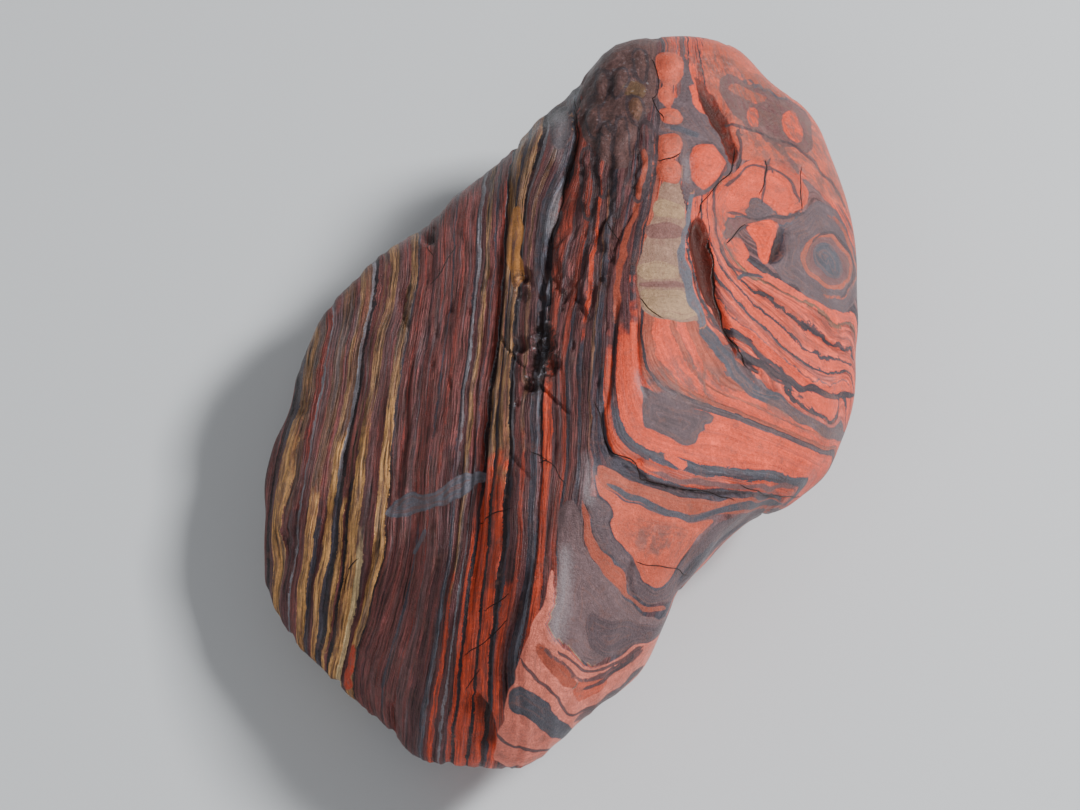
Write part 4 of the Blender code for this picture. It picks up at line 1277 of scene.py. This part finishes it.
def make_stone():
    """Make the stone's mesh with all that its material reads."""
    edges = np.array([[vertex.index for vertex in edge.verts] for edge in ball.edges])
    rested = relaxed(points, edges, RELAX_SHARE * eased(furrow * seen / RELAX_DEPTH))
    rested[:, 2] = np.maximum(rested[:, 2], 0)
    for vertex, point in zip(ball.verts, rested):
        vertex.co = point * MILLIMETRE
    mesh = bpy.data.meshes.new("banded_cobble")
    ball.to_mesh(mesh)
    ball.free()
    mesh.shade_smooth()
    notes = {"bedding": bedding, "row": row, "furrow": furrow * seen, "rough": rough, "rub_sheen": rub_sheen}
    notes["clouded"] = clouded
    notes["cheek"] = cheek
    notes["crack_side"] = np.where(seen > 0, crack_side, CRACK_REACH)
    notes["crack_away"] = np.where(seen > 0, crack_away, CRACK_REACH)
    notes["vein_side"] = np.where(seen > 0, vein_side, CRACK_REACH)
    notes["vein_away"] = np.where(seen > 0, vein_away, CRACK_REACH)
    for coat in range(COATS):
        notes["coat_%d" % (coat + 1)] = coat_depths[coat]
        notes["finish_%d" % (coat + 1)] = coat_finishes[coat]
    for name, values in notes.items():
        attribute = mesh.attributes.new(name, "FLOAT", "POINT")
        attribute.data.foreach_set("value", values.astype(np.float32))
    stone = bpy.data.objects.new("banded_cobble", mesh)
    bpy.context.scene.collection.objects.link(stone)
    return stone


stone = make_stone()
print("stone measures", [round(side / MILLIMETRE, 1) for side in stone.dimensions], "mm")

# %% [markdown]
# ## Small helpers for materials
# A procedural material is a net of small sums. These helpers put one node in the net and join it up, so
# that the recipe further on reads as a recipe.

# %% Write the node helpers
def join(tree, source, socket):
    """Join a value or another node's output to a socket."""
    if isinstance(source, bpy.types.NodeSocket):
        tree.links.new(source, socket)
    else:
        socket.default_value = source


def stored(tree, name):
    """Read a number that is stored on the mesh."""
    node = tree.nodes.new("ShaderNodeAttribute")
    node.attribute_name = name
    return node.outputs["Fac"]


def sum_of(tree, operation, first, second=0.0, third=0.0):
    """Do one sum on up to three numbers."""
    node = tree.nodes.new("ShaderNodeMath")
    node.operation = operation
    join(tree, first, node.inputs[0])
    join(tree, second, node.inputs[1])
    join(tree, third, node.inputs[2])
    return node.outputs[0]


def rising(tree, value, low, high):
    """Ease from 0 at the low value to 1 at the high one."""
    node = tree.nodes.new("ShaderNodeMapRange")
    node.interpolation_type = "SMOOTHSTEP"
    join(tree, value, node.inputs["Value"])
    node.inputs["From Min"].default_value = low
    node.inputs["From Max"].default_value = high
    return node.outputs["Result"]


def noise_of(tree, place, scale, detail=2.0, roughness=0.5):
    """Return a cloudy noise between 0 and 1, mostly near a half."""
    node = tree.nodes.new("ShaderNodeTexNoise")
    join(tree, place, node.inputs["Vector"])
    node.inputs["Scale"].default_value = scale
    node.inputs["Detail"].default_value = detail
    node.inputs["Roughness"].default_value = roughness
    return node.outputs["Fac"]


def blend(tree, factor, first, second, how="MIX"):
    """Blend two colours by a factor."""
    node = tree.nodes.new("ShaderNodeMix")
    node.data_type = "RGBA"
    node.blend_type = how
    join(tree, factor, node.inputs["Factor"])
    join(tree, first, node.inputs["A"])
    join(tree, second, node.inputs["B"])
    return node.outputs["Result"]


print("node helpers ready")

# %% [markdown]
# ## Reading the pile
# A colour ramp turns the bedding number into a colour, but one ramp holds 32 stops at most and the pile
# has more layers. So the pile is shared out over several ramps, and each takes over where the last one
# ends. The stops change at once instead of fading, since a layer has an edge.

# %% Turn the pile into ramps
RAMP_STOPS = 30
LAST_STEP = 30


def ramp_of(tree, value, low, high, stops):
    """Return colour and fourth value from a ramp of sudden stops between two values."""
    node = tree.nodes.new("ShaderNodeValToRGB")
    ramp = node.color_ramp
    ramp.interpolation = "CONSTANT"
    ramp.elements.remove(ramp.elements[1])
    for number, (position, colour) in enumerate(stops):
        place = (position - low) / (high - low)
        stop = ramp.elements[0] if number == 0 else ramp.elements.new(place)
        stop.position = place
        stop.color = colour
    scaled = sum_of(tree, "DIVIDE", sum_of(tree, "SUBTRACT", value, low), high - low)
    tree.links.new(scaled, node.inputs["Fac"])
    return node.outputs["Color"], node.outputs["Alpha"]


def pile_of(tree, value, stops):
    """Return colour and fourth value from a long pile of stops, shared out over several ramps."""
    colour = strength = None
    for start in range(0, len(stops), RAMP_STOPS):
        part = stops[start:start + RAMP_STOPS]
        low = part[0][0]
        high = part[-1][0] + LAST_STEP
        part_colour, part_strength = ramp_of(tree, value, low, high, part)
        if colour is None:
            colour, strength = part_colour, part_strength
        else:
            beyond = sum_of(tree, "GREATER_THAN", value, low)
            colour = blend(tree, beyond, colour, part_colour)
            difference = sum_of(tree, "SUBTRACT", part_strength, strength)
            strength = sum_of(tree, "MULTIPLY_ADD", difference, beyond, strength)
    return colour, strength


print("the pile needs", math.ceil(len(LAYERS) / RAMP_STOPS), "ramps for each end")

# %% [markdown]
# ## The stone's finish, step one: shake the bedding
# The finish is mixed in steps, each of which adds one thing that happened to the rock. All of them work
# in millimetres. First the bedding number is shaken by noise of several sizes, since no layer edge is
# ruled with a straightedge. Where the red layers fold, they waver in longer waves too.

# %% Shake the bedding
MATERIAL_SCALE = 1000.0
SLOW_WAVER = (0.12, 2.4)
QUICK_WAVER = (0.55, 1.1)
GRAIN_WAVER = (3.5, 1.0)
RESTLESS_WAVER = (0.28, 3.4)
RESTLESS_FROM = 605.0
RESTLESS_FULL = 670.0
KNOT_SQUEEZE = 0.55
KNOT_NOISE = (0.35, 3.0, 0.6)
KNOT_SIZE = 4.0


def times(tree, first, second):
    """Multiply two numbers."""
    return sum_of(tree, "MULTIPLY", first, second)


def total_of(tree, *parts):
    """Add up any count of numbers."""
    total = parts[0]
    for part in parts[1:]:
        total = sum_of(tree, "ADD", total, part)
    return total


def wavering(tree, place, waver):
    """Return noise about nothing, of a given fineness and size."""
    fineness, size = waver
    return times(tree, sum_of(tree, "SUBTRACT", noise_of(tree, place, fineness), 0.5), size * 2)


def moved(tree, place, scale, step):
    """Scale a place and step it along the first direction."""
    node = tree.nodes.new("ShaderNodeVectorMath")
    node.operation = "SCALE"
    join(tree, place, node.inputs[0])
    node.inputs["Scale"].default_value = scale
    shift = tree.nodes.new("ShaderNodeCombineXYZ")
    join(tree, step, shift.inputs["X"])
    total = tree.nodes.new("ShaderNodeVectorMath")
    total.operation = "ADD"
    tree.links.new(node.outputs[0], total.inputs[0])
    tree.links.new(shift.outputs[0], total.inputs[1])
    return total.outputs[0]


def place_in_millimetres(tree):
    """Return the place on the stone in millimetres."""
    texture_place = tree.nodes.new("ShaderNodeTexCoord")
    scaled = tree.nodes.new("ShaderNodeVectorMath")
    scaled.operation = "SCALE"
    tree.links.new(texture_place.outputs["Object"], scaled.inputs[0])
    scaled.inputs["Scale"].default_value = MATERIAL_SCALE
    return scaled.outputs[0]


def shaken_bedding(tree, place):
    """Return the bedding with a slow sway, the same with all its shakes, and the finest shake."""
    smooth_bed = total_of(tree, stored(tree, "bedding"), wavering(tree, place, SLOW_WAVER))
    grain = wavering(tree, place, GRAIN_WAVER)
    knots = noise_of(tree, moved(tree, place, KNOT_SQUEEZE, smooth_bed), *KNOT_NOISE)
    knots = times(tree, sum_of(tree, "SUBTRACT", knots, 0.5), KNOT_SIZE)
    unrest = rising(tree, stored(tree, "bedding"), RESTLESS_FROM, RESTLESS_FULL)
    restless = times(tree, wavering(tree, place, RESTLESS_WAVER), unrest)
    bed = total_of(tree, smooth_bed, wavering(tree, place, QUICK_WAVER), knots, grain, restless)
    return smooth_bed, bed, grain


print("the bedding is shaken by noise of", SLOW_WAVER[1], "steps and less")

# %% [markdown]
# ## Step two: read the pile
# Both ends of the pile are read at the shaken bedding, and the row decides between them. Where a layer
# turns from one finish to the other, the border wanders, as a stain does that soaked in from one end.

# %% Colour the pile
ROW_SCALE = 1000.0
TURN_WAVER = (0.25, 50.0)
TURN_OVER = 14.0


def pile_colour(tree, place, bed):
    """Return the pile's colour and its lamina strength."""
    upper_stops = [(start, finish_colour(upper)) for start, upper, lower, turn in LAYERS]
    lower_stops = [(start, finish_colour(lower)) for start, upper, lower, turn in LAYERS]
    turn_stops = [(start, (turn / ROW_SCALE,) * 3 + (1.0,)) for start, upper, lower, turn in LAYERS]
    upper_colour, upper_lamina = pile_of(tree, bed, upper_stops)
    lower_colour, lower_lamina = pile_of(tree, bed, lower_stops)
    turn_row = pile_of(tree, bed, turn_stops)[0]
    row_here = total_of(tree, stored(tree, "row"), wavering(tree, place, TURN_WAVER))
    past_turn = sum_of(tree, "SUBTRACT", row_here, times(tree, turn_row, ROW_SCALE))
    turned = rising(tree, past_turn, -TURN_OVER, TURN_OVER)
    colour = blend(tree, turned, upper_colour, lower_colour)
    difference = sum_of(tree, "SUBTRACT", lower_lamina, upper_lamina)
    return colour, sum_of(tree, "MULTIPLY_ADD", difference, turned, upper_lamina)


print("each layer turns over", 2 * TURN_OVER, "rows")

# %% [markdown]
# ## Step three: draw the laminae
# Inside a layer lie laminae as fine as a fingernail is thick. They are noise that is squeezed across the
# layers and drawn out along them. Broad noise gives whole streaks of iron or rust, fine noise gives
# light and dark threads, and rounder noise breaks the streaks so that none runs on for ever.

# %% Draw the laminae
FLOW_SQUEEZE = 0.19
FINE_NOISE = (0.62, 3.0, 0.65)
BROAD_NOISE = (0.17, 3.0, 0.6)
BREAK_SQUEEZE = 0.7
BREAK_NOISE = (0.24, 4.0, 0.65)
IRON_RISE = (0.54, 0.64)
RUST_RISE = (0.45, 0.36)
BREAK_RISE = (0.50, 0.60)
IRON_STREAK = (0.085, 0.080, 0.090, 1.0)
RUST_STREAK = (0.200, 0.044, 0.032, 1.0)
BREAK = (0.112, 0.050, 0.046, 1.0)
IRON_SHARE = 0.6
RUST_SHARE = 0.45
BREAK_SHARE = 0.55
THREAD_CONTRAST = 4.5


def shaded(tree, colour, value):
    """Make a colour lighter or darker."""
    node = tree.nodes.new("ShaderNodeHueSaturation")
    join(tree, colour, node.inputs["Color"])
    join(tree, value, node.inputs["Value"])
    return node.outputs["Color"]


def laminated(tree, place, smooth_bed, colour, lamina):
    """Draw laminae into the pile's colour, and return it with the height of the finest ones."""
    flow = moved(tree, place, FLOW_SQUEEZE, smooth_bed)
    fine = noise_of(tree, flow, *FINE_NOISE)
    broad = noise_of(tree, flow, *BROAD_NOISE)
    breaks = noise_of(tree, moved(tree, place, BREAK_SQUEEZE, smooth_bed), *BREAK_NOISE)
    threads = times(tree, sum_of(tree, "SUBTRACT", fine, 0.5), lamina)
    iron = times(tree, rising(tree, broad, *IRON_RISE), times(tree, lamina, IRON_SHARE))
    rust = times(tree, rising(tree, broad, *RUST_RISE), times(tree, lamina, RUST_SHARE))
    broken = times(tree, rising(tree, breaks, *BREAK_RISE), times(tree, lamina, BREAK_SHARE))
    colour = blend(tree, iron, colour, IRON_STREAK)
    colour = blend(tree, rust, colour, RUST_STREAK)
    colour = blend(tree, broken, colour, BREAK)
    return shaded(tree, colour, sum_of(tree, "MULTIPLY_ADD", threads, THREAD_CONTRAST, 1.0)), threads


print("laminae are", round(1 / FINE_NOISE[0], 1), "steps of squeezed bedding thick")

# %% [markdown]
# ## Step four: lay on the coats
# The patches cover the pile coat by coat. Fine noise frays the stored edge distance a little. The same
# distance drives rings inside each patch, because a lens grows ring by ring from its middle outward.
# Thin dark veinlets of iron oxide run between them and are drawn over the last coat.

# %% Lay on the coats
EDGE_FRAYS = ((0.45, 0.16), (2.4, 0.09))
EDGE_OUTER = -0.10
EDGE_INNER = 0.12
RING_SQUEEZE = 0.10
RING_STEP = 2.6
RING_NOISE = (1.0, 3.0, 0.6)
RING_CONTRAST = 1.1
RING_DARKEST = 0.45
STAIN = (0.170, 0.076, 0.062, 1.0)
STAIN_RISE = (0.52, 0.66)
CHEEK_SMOOTHNESS = 0.8
VEIN = (0.062, 0.044, 0.050, 1.0)
VEIN_FRAY = (0.5, 0.16)
VEIN_EDGE = 0.34
VEIN_CORE = 0.20
VEIN_FAR = 0.9
VEIN_NEAR = 0.6
VEIN_SHARE = 0.9


def coated(tree, place, colour):
    """Lay the coats and veinlets over a colour, and return it with the share of the pile left bare."""
    frayed = total_of(tree, *[wavering(tree, place, fray) for fray in EDGE_FRAYS])
    finish_stops = [(number, finish_colour(name)) for number, name in enumerate(FINISH_NAMES)]
    bare = sum_of(tree, "MULTIPLY_ADD", stored(tree, "cheek"), -CHEEK_SMOOTHNESS, 1.0)
    for coat in range(1, COATS + 1):
        depth = total_of(tree, stored(tree, "coat_%d" % coat), frayed)
        covered = rising(tree, depth, EDGE_OUTER, EDGE_INNER)
        number = sum_of(tree, "ADD", stored(tree, "finish_%d" % coat), 0.5)
        coat_colour, coat_lamina = ramp_of(tree, number, 0, len(FINISH_NAMES), finish_stops)
        rings = noise_of(tree, moved(tree, place, RING_SQUEEZE, times(tree, depth, RING_STEP)), *RING_NOISE)
        shade = sum_of(tree, "MULTIPLY_ADD", rings, RING_CONTRAST, RING_DARKEST)
        stained = times(tree, rising(tree, rings, *STAIN_RISE), coat_lamina)
        ringed = blend(tree, stained, shaded(tree, coat_colour, shade), STAIN)
        colour = blend(tree, covered, colour, ringed)
        bare = times(tree, bare, sum_of(tree, "SUBTRACT", 1.0, covered))
    vein = sum_of(tree, "ABSOLUTE", stored(tree, "vein_side"))
    vein = rising(tree, total_of(tree, vein, wavering(tree, place, VEIN_FRAY)), VEIN_EDGE, VEIN_CORE)
    # Every colour in the stone is one of a few minerals: red jasper, golden tiger-eye, grey and black iron
    # oxide, pale chert, and mixtures of them, and a few carry painted light as well: pale highlight lines
    # on layer edges, a lit notch wall and shaded gash floors. Each gets a name, its colour as a paint chart
    # would give it, how strongly fine laminae show in it, and how far it stands up or sinks in.
    vein = times(tree, vein, rising(tree, stored(tree, "vein_away"), VEIN_FAR, VEIN_NEAR))
    return blend(tree, times(tree, vein, VEIN_SHARE), colour, VEIN), bare


print(COATS, "coats fade over", round(EDGE_INNER - EDGE_OUTER, 2), "mm at their edges")

# %% [markdown]
# ## Step five: weather the colour
# Iron leaches out along the layers and clouds some places of the red side. Everywhere the skin is worn
# blotchy, then mottled, then speckled with dark grains and painted pale glints. Each is one noise,
# from large to small.

# %% Weather the colour
HAZE_SQUEEZE = 0.3
HAZE_STEP = 0.12
HAZE_NOISE = (1.4, 4.0, 0.62)
HAZE = (0.150, 0.088, 0.080, 1.0)
HAZE_SHARE = 0.68
HAZE_RISE = (0.42, 0.58)
WORN_NOISE = (0.45, 6.0, 0.72)
WORN_SHARE = 0.42
WORN_RISE = (0.52, 0.66)
PALE_GAIN = 0.3
PALE_RISE = (0.46, 0.34)
CLOUD_NOISE = (0.22, 4.0, 0.6)
CLOUD_GAIN = 0.7
DUST_NOISE = (1.7, 4.0, 0.7)
DUST_GAIN = 0.9
DARKEST_DUST = 0.2
SPECK_NOISE = (5.5, 2.0, 0.6)
# Dark colour for dark grains and hair cracks, and for the painted shade in furrows and pores.
GRIME_AND_SHADE = (0.030, 0.017, 0.015, 1.0)
SPECK_SHARE = 0.5
SPECK_RISE = (0.60, 0.68)
PALE_GLINT_GAIN = 0.5
PALE_GLINT_RISE = (0.38, 0.28)


def weathered(tree, place, smooth_bed, colour):
    """Haze, wear, mottle, speckle and paint pale glints on a colour, and return it with its dust and its
    specks.
    """
    haze_place = moved(tree, place, HAZE_SQUEEZE, times(tree, smooth_bed, HAZE_STEP))
    haze = rising(tree, noise_of(tree, haze_place, *HAZE_NOISE), *HAZE_RISE)
    hazy = times(tree, haze, stored(tree, "clouded"))
    colour = blend(tree, times(tree, hazy, HAZE_SHARE), colour, HAZE)
    worn = noise_of(tree, place, *WORN_NOISE)
    colour = blend(tree, times(tree, rising(tree, worn, *WORN_RISE), WORN_SHARE), colour, STAIN)
    pale = sum_of(tree, "MULTIPLY_ADD", rising(tree, worn, *PALE_RISE), PALE_GAIN, 1.0)
    colour = shaded(tree, colour, pale)
    dust = noise_of(tree, place, *DUST_NOISE)
    mottle = sum_of(tree, "MULTIPLY_ADD", dust, DUST_GAIN, DARKEST_DUST)
    mottle = sum_of(tree, "MULTIPLY_ADD", noise_of(tree, place, *CLOUD_NOISE), CLOUD_GAIN, mottle)
    colour = shaded(tree, colour, mottle)
    specks = noise_of(tree, place, *SPECK_NOISE)
    colour = blend(tree, times(tree, rising(tree, specks, *SPECK_RISE), SPECK_SHARE), colour, GRIME_AND_SHADE)
    # Painted glints: where the speck noise is lowest the colour is made paler.
    painted_glints = sum_of(tree, "MULTIPLY_ADD", rising(tree, specks, *PALE_GLINT_RISE), PALE_GLINT_GAIN, 1.0)
    return shaded(tree, colour, painted_glints), dust, specks


print("the smallest specks are", round(1 / SPECK_NOISE[0], 2), "mm across")

# %% [markdown]
# ## Step six: bruises with painted sheen, painted pores and glints, painted furrow shade, cracks
# Knocks leave pale flecks, and a painted pale sheen lies over them where the ridge shines. Rough
# ground gets dark pores of painted shadow and bright facets of painted glint, and painted shade
# darkens the furrows. The hair cracks come last, since they cut through it all.

# %% Mark what happened last
FLECK_NOISE = (2.6, 3.0, 0.7)
FLECK_SIZE = 3.0
BRUISE_SHEEN_OUTER = -1.2
BRUISE_SHEEN_INNER = 1.8
BRUISE_SHEEN_SHARE = 0.5
RUB_SHEEN_COLOUR = (0.38, 0.34, 0.36, 1.0)
FLAKE_NOISE = (1.1, 3.0, 0.6)
FLAKE_GAIN = 3.0
PORE_SHADOW_RISE = (0.53, 0.46)
GLINT_RISE = (0.62, 0.68)
GLINT = (0.34, 0.33, 0.35, 1.0)
# How painted shade darkens the furrows with their depth.
FURROW_SHADE_FROM = 0.45
FURROW_SHADE_FULL = 2.6
FURROW_SHADE_SHARE = 0.75
HAIR_EDGE = 0.13
HAIR_CORE = 0.04
HAIR_FRAY = 0.05
HAIR_FAR = 0.8
HAIR_NEAR = 0.5


def marked(tree, place, grain, colour):
    """Bruise and paint sheen, paint shadowed pores, glints and furrow shade, and crack a colour; return it
    with its bruises and sheen and its cracks.
    """
    flecks = sum_of(tree, "SUBTRACT", noise_of(tree, place, *FLECK_NOISE), 0.5)
    bruise_sheen_depth = sum_of(tree, "MULTIPLY_ADD", flecks, FLECK_SIZE, stored(tree, "rub_sheen"))
    bruise_sheen = rising(tree, bruise_sheen_depth, BRUISE_SHEEN_OUTER, BRUISE_SHEEN_INNER)
    # Painted sheen with real wear: the ridge's shine and its knock marks painted as pale flecks.
    colour = blend(tree, times(tree, bruise_sheen, BRUISE_SHEEN_SHARE), colour, RUB_SHEEN_COLOUR)
    flakes = noise_of(tree, place, *FLAKE_NOISE)
    rough_here = times(tree, stored(tree, "rough"), FLAKE_GAIN)
    # Painted shadow in the pores and painted glints on the facets of the rough ground.
    colour = blend(tree, times(tree, rising(tree, flakes, *PORE_SHADOW_RISE), rough_here), colour, GRIME_AND_SHADE)
    colour = blend(tree, times(tree, rising(tree, flakes, *GLINT_RISE), rough_here), colour, GLINT)
    # Painted shade: furrows, gashes, slots and knob seams are darkened by how deep they are pressed.
    furrow_shade = times(tree, rising(tree, stored(tree, "furrow"), FURROW_SHADE_FROM, FURROW_SHADE_FULL), FURROW_SHADE_SHARE)
    colour = blend(tree, furrow_shade, colour, GRIME_AND_SHADE)
    hair = sum_of(tree, "ABSOLUTE", stored(tree, "crack_side"))
    hair = rising(tree, sum_of(tree, "MULTIPLY_ADD", grain, HAIR_FRAY, hair), HAIR_EDGE, HAIR_CORE)
    hair = times(tree, hair, rising(tree, stored(tree, "crack_away"), HAIR_FAR, HAIR_NEAR))
    return blend(tree, hair, colour, GRIME_AND_SHADE), bruise_sheen, hair


print("hair cracks are", 2 * HAIR_EDGE, "mm wide")

# %% [markdown]
# ## Step seven: gloss and relief
# River-polished jasper is waxy: dull where dust lies and shining where iron oxide comes to the surface.
# The relief is only the grain that fingers barely feel. All deeper forms are already in the mesh.

# %% Mix the stone's material
GLOSSIEST = 0.13
DUST_DULLS = 0.5
BRUISE_SHINES = -0.12
SHEEN = 0.22
DUST_RELIEF = 0.7
THREAD_RELIEF = 2.4
SPECK_RELIEF = 0.30
BUMP_STRENGTH = 0.95
BUMP_HEIGHT = 0.34


def make_stone_finish():
    """Mix the procedural material of the whole stone."""
    material = bpy.data.materials.new("Banded ironstone")
    material.use_nodes = True
    tree = material.node_tree
    shader = tree.nodes["Principled BSDF"]
    place = place_in_millimetres(tree)
    smooth_bed, bed, grain = shaken_bedding(tree, place)
    colour, lamina = pile_colour(tree, place, bed)
    colour, threads = laminated(tree, place, smooth_bed, colour, lamina)
    colour, bare = coated(tree, place, colour)
    colour, dust, specks = weathered(tree, place, smooth_bed, colour)
    colour, bruise_sheen, hair = marked(tree, place, grain, colour)
    tree.links.new(colour, shader.inputs["Base Color"])

    gloss = sum_of(tree, "MULTIPLY_ADD", dust, DUST_DULLS, GLOSSIEST)
    gloss = sum_of(tree, "MULTIPLY_ADD", bruise_sheen, BRUISE_SHINES, gloss)
    tree.links.new(gloss, shader.inputs["Roughness"])
    shader.inputs["Specular IOR Level"].default_value = SHEEN
    relief = times(tree, times(tree, threads, THREAD_RELIEF), bare)
    relief = sum_of(tree, "MULTIPLY_ADD", dust, DUST_RELIEF, relief)
    relief = sum_of(tree, "MULTIPLY_ADD", specks, SPECK_RELIEF, relief)
    bump = tree.nodes.new("ShaderNodeBump")
    bump.inputs["Strength"].default_value = BUMP_STRENGTH
    bump.inputs["Distance"].default_value = BUMP_HEIGHT * MILLIMETRE
    tree.links.new(sum_of(tree, "SUBTRACT", relief, hair), bump.inputs["Height"])
    tree.links.new(bump.outputs["Normal"], shader.inputs["Normal"])
    return material


stone.data.materials.append(make_stone_finish())
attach(stone, "root")
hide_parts("banded_ironstone")
print("stone's material has", len(stone.data.materials[0].node_tree.nodes), "nodes")

# %% [markdown]
# ## Floor, light and camera
# The stone stands on a plain pale floor. A small, strong lamp from the right and a little behind rakes
# across the striped side and throws the shadow to the left. A broad, weak one from the front and a
# little left opens the furrows, and pale light from all around lifts the rest of the shade. The camera
# looks down square at the sheet on which all the marks were drawn.

# %% Set the stage
FLOOR_HALF = 1.5
FLOOR_COLOUR = (0.62, 0.64, 0.66, 1.0)
FLOOR_ROUGHNESS = 0.9
TARGET = Vector(SHEET_CENTRE) * MILLIMETRE
KEY_DIRECTION = (0.69, 0.14, 0.71)
KEY_DISTANCE = 0.9
KEY_SIZE = 0.18
KEY_POWER = 12.0
FILL_DIRECTION = (-0.35, -0.72, 0.60)
FILL_DISTANCE = 1.0
FILL_SIZE = 0.8
FILL_POWER = 3.0
SURROUND = (0.95, 0.97, 1.0, 1.0)
SURROUND_STRENGTH = 0.26
LENS_LENGTH = 100.0
SENSOR_WIDTH = 36.0


def make_floor():
    """Make the plain floor."""
    floor_mesh = bmesh.new()
    bmesh.ops.create_grid(floor_mesh, x_segments=2, y_segments=2, size=FLOOR_HALF)
    mesh = bpy.data.meshes.new("studio_floor")
    floor_mesh.to_mesh(mesh)
    floor_mesh.free()
    floor = bpy.data.objects.new("studio_floor", mesh)
    bpy.context.scene.collection.objects.link(floor)
    material = bpy.data.materials.new("Pale floor")
    material.use_nodes = True
    shader = material.node_tree.nodes["Principled BSDF"]
    shader.inputs["Base Color"].default_value = FLOOR_COLOUR
    shader.inputs["Roughness"].default_value = FLOOR_ROUGHNESS
    mesh.materials.append(material)


def make_lamp(name, direction, distance, size, power):
    """Make one square lamp that looks at the stone."""
    light = bpy.data.lights.new(name, "AREA")
    light.size = size
    light.energy = power
    lamp = bpy.data.objects.new(name, light)
    bpy.context.scene.collection.objects.link(lamp)
    aim = Vector(direction).normalized()
    lamp.location = TARGET + aim * distance
    lamp.rotation_euler = aim.to_track_quat("Z", "Y").to_euler()


def make_camera():
    """Make the camera that looks square at the sheet."""
    lens = bpy.data.cameras.new("camera")
    lens.lens = LENS_LENGTH
    lens.sensor_width = SENSOR_WIDTH
    camera = bpy.data.objects.new("camera", lens)
    bpy.context.scene.collection.objects.link(camera)
    camera.location = TARGET + Vector(OUTWARD) * EYE_DISTANCE * MILLIMETRE
    camera.rotation_euler = (math.radians(90 - SHEET_TILT), 0.0, 0.0)
    bpy.context.scene.camera = camera


make_floor()
make_lamp("key_lamp", KEY_DIRECTION, KEY_DISTANCE, KEY_SIZE, KEY_POWER)
make_lamp("fill_lamp", FILL_DIRECTION, FILL_DISTANCE, FILL_SIZE, FILL_POWER)
make_camera()
world = bpy.data.worlds.new("surroundings")
world.use_nodes = True
world.node_tree.nodes["Background"].inputs["Color"].default_value = SURROUND
world.node_tree.nodes["Background"].inputs["Strength"].default_value = SURROUND_STRENGTH
bpy.context.scene.world = world
print("camera at", [round(value, 3) for value in bpy.context.scene.camera.location])

# %% [markdown]
# ## Finish
# The view layer is brought up to date.

# %% Finish
bpy.context.view_layer.update()
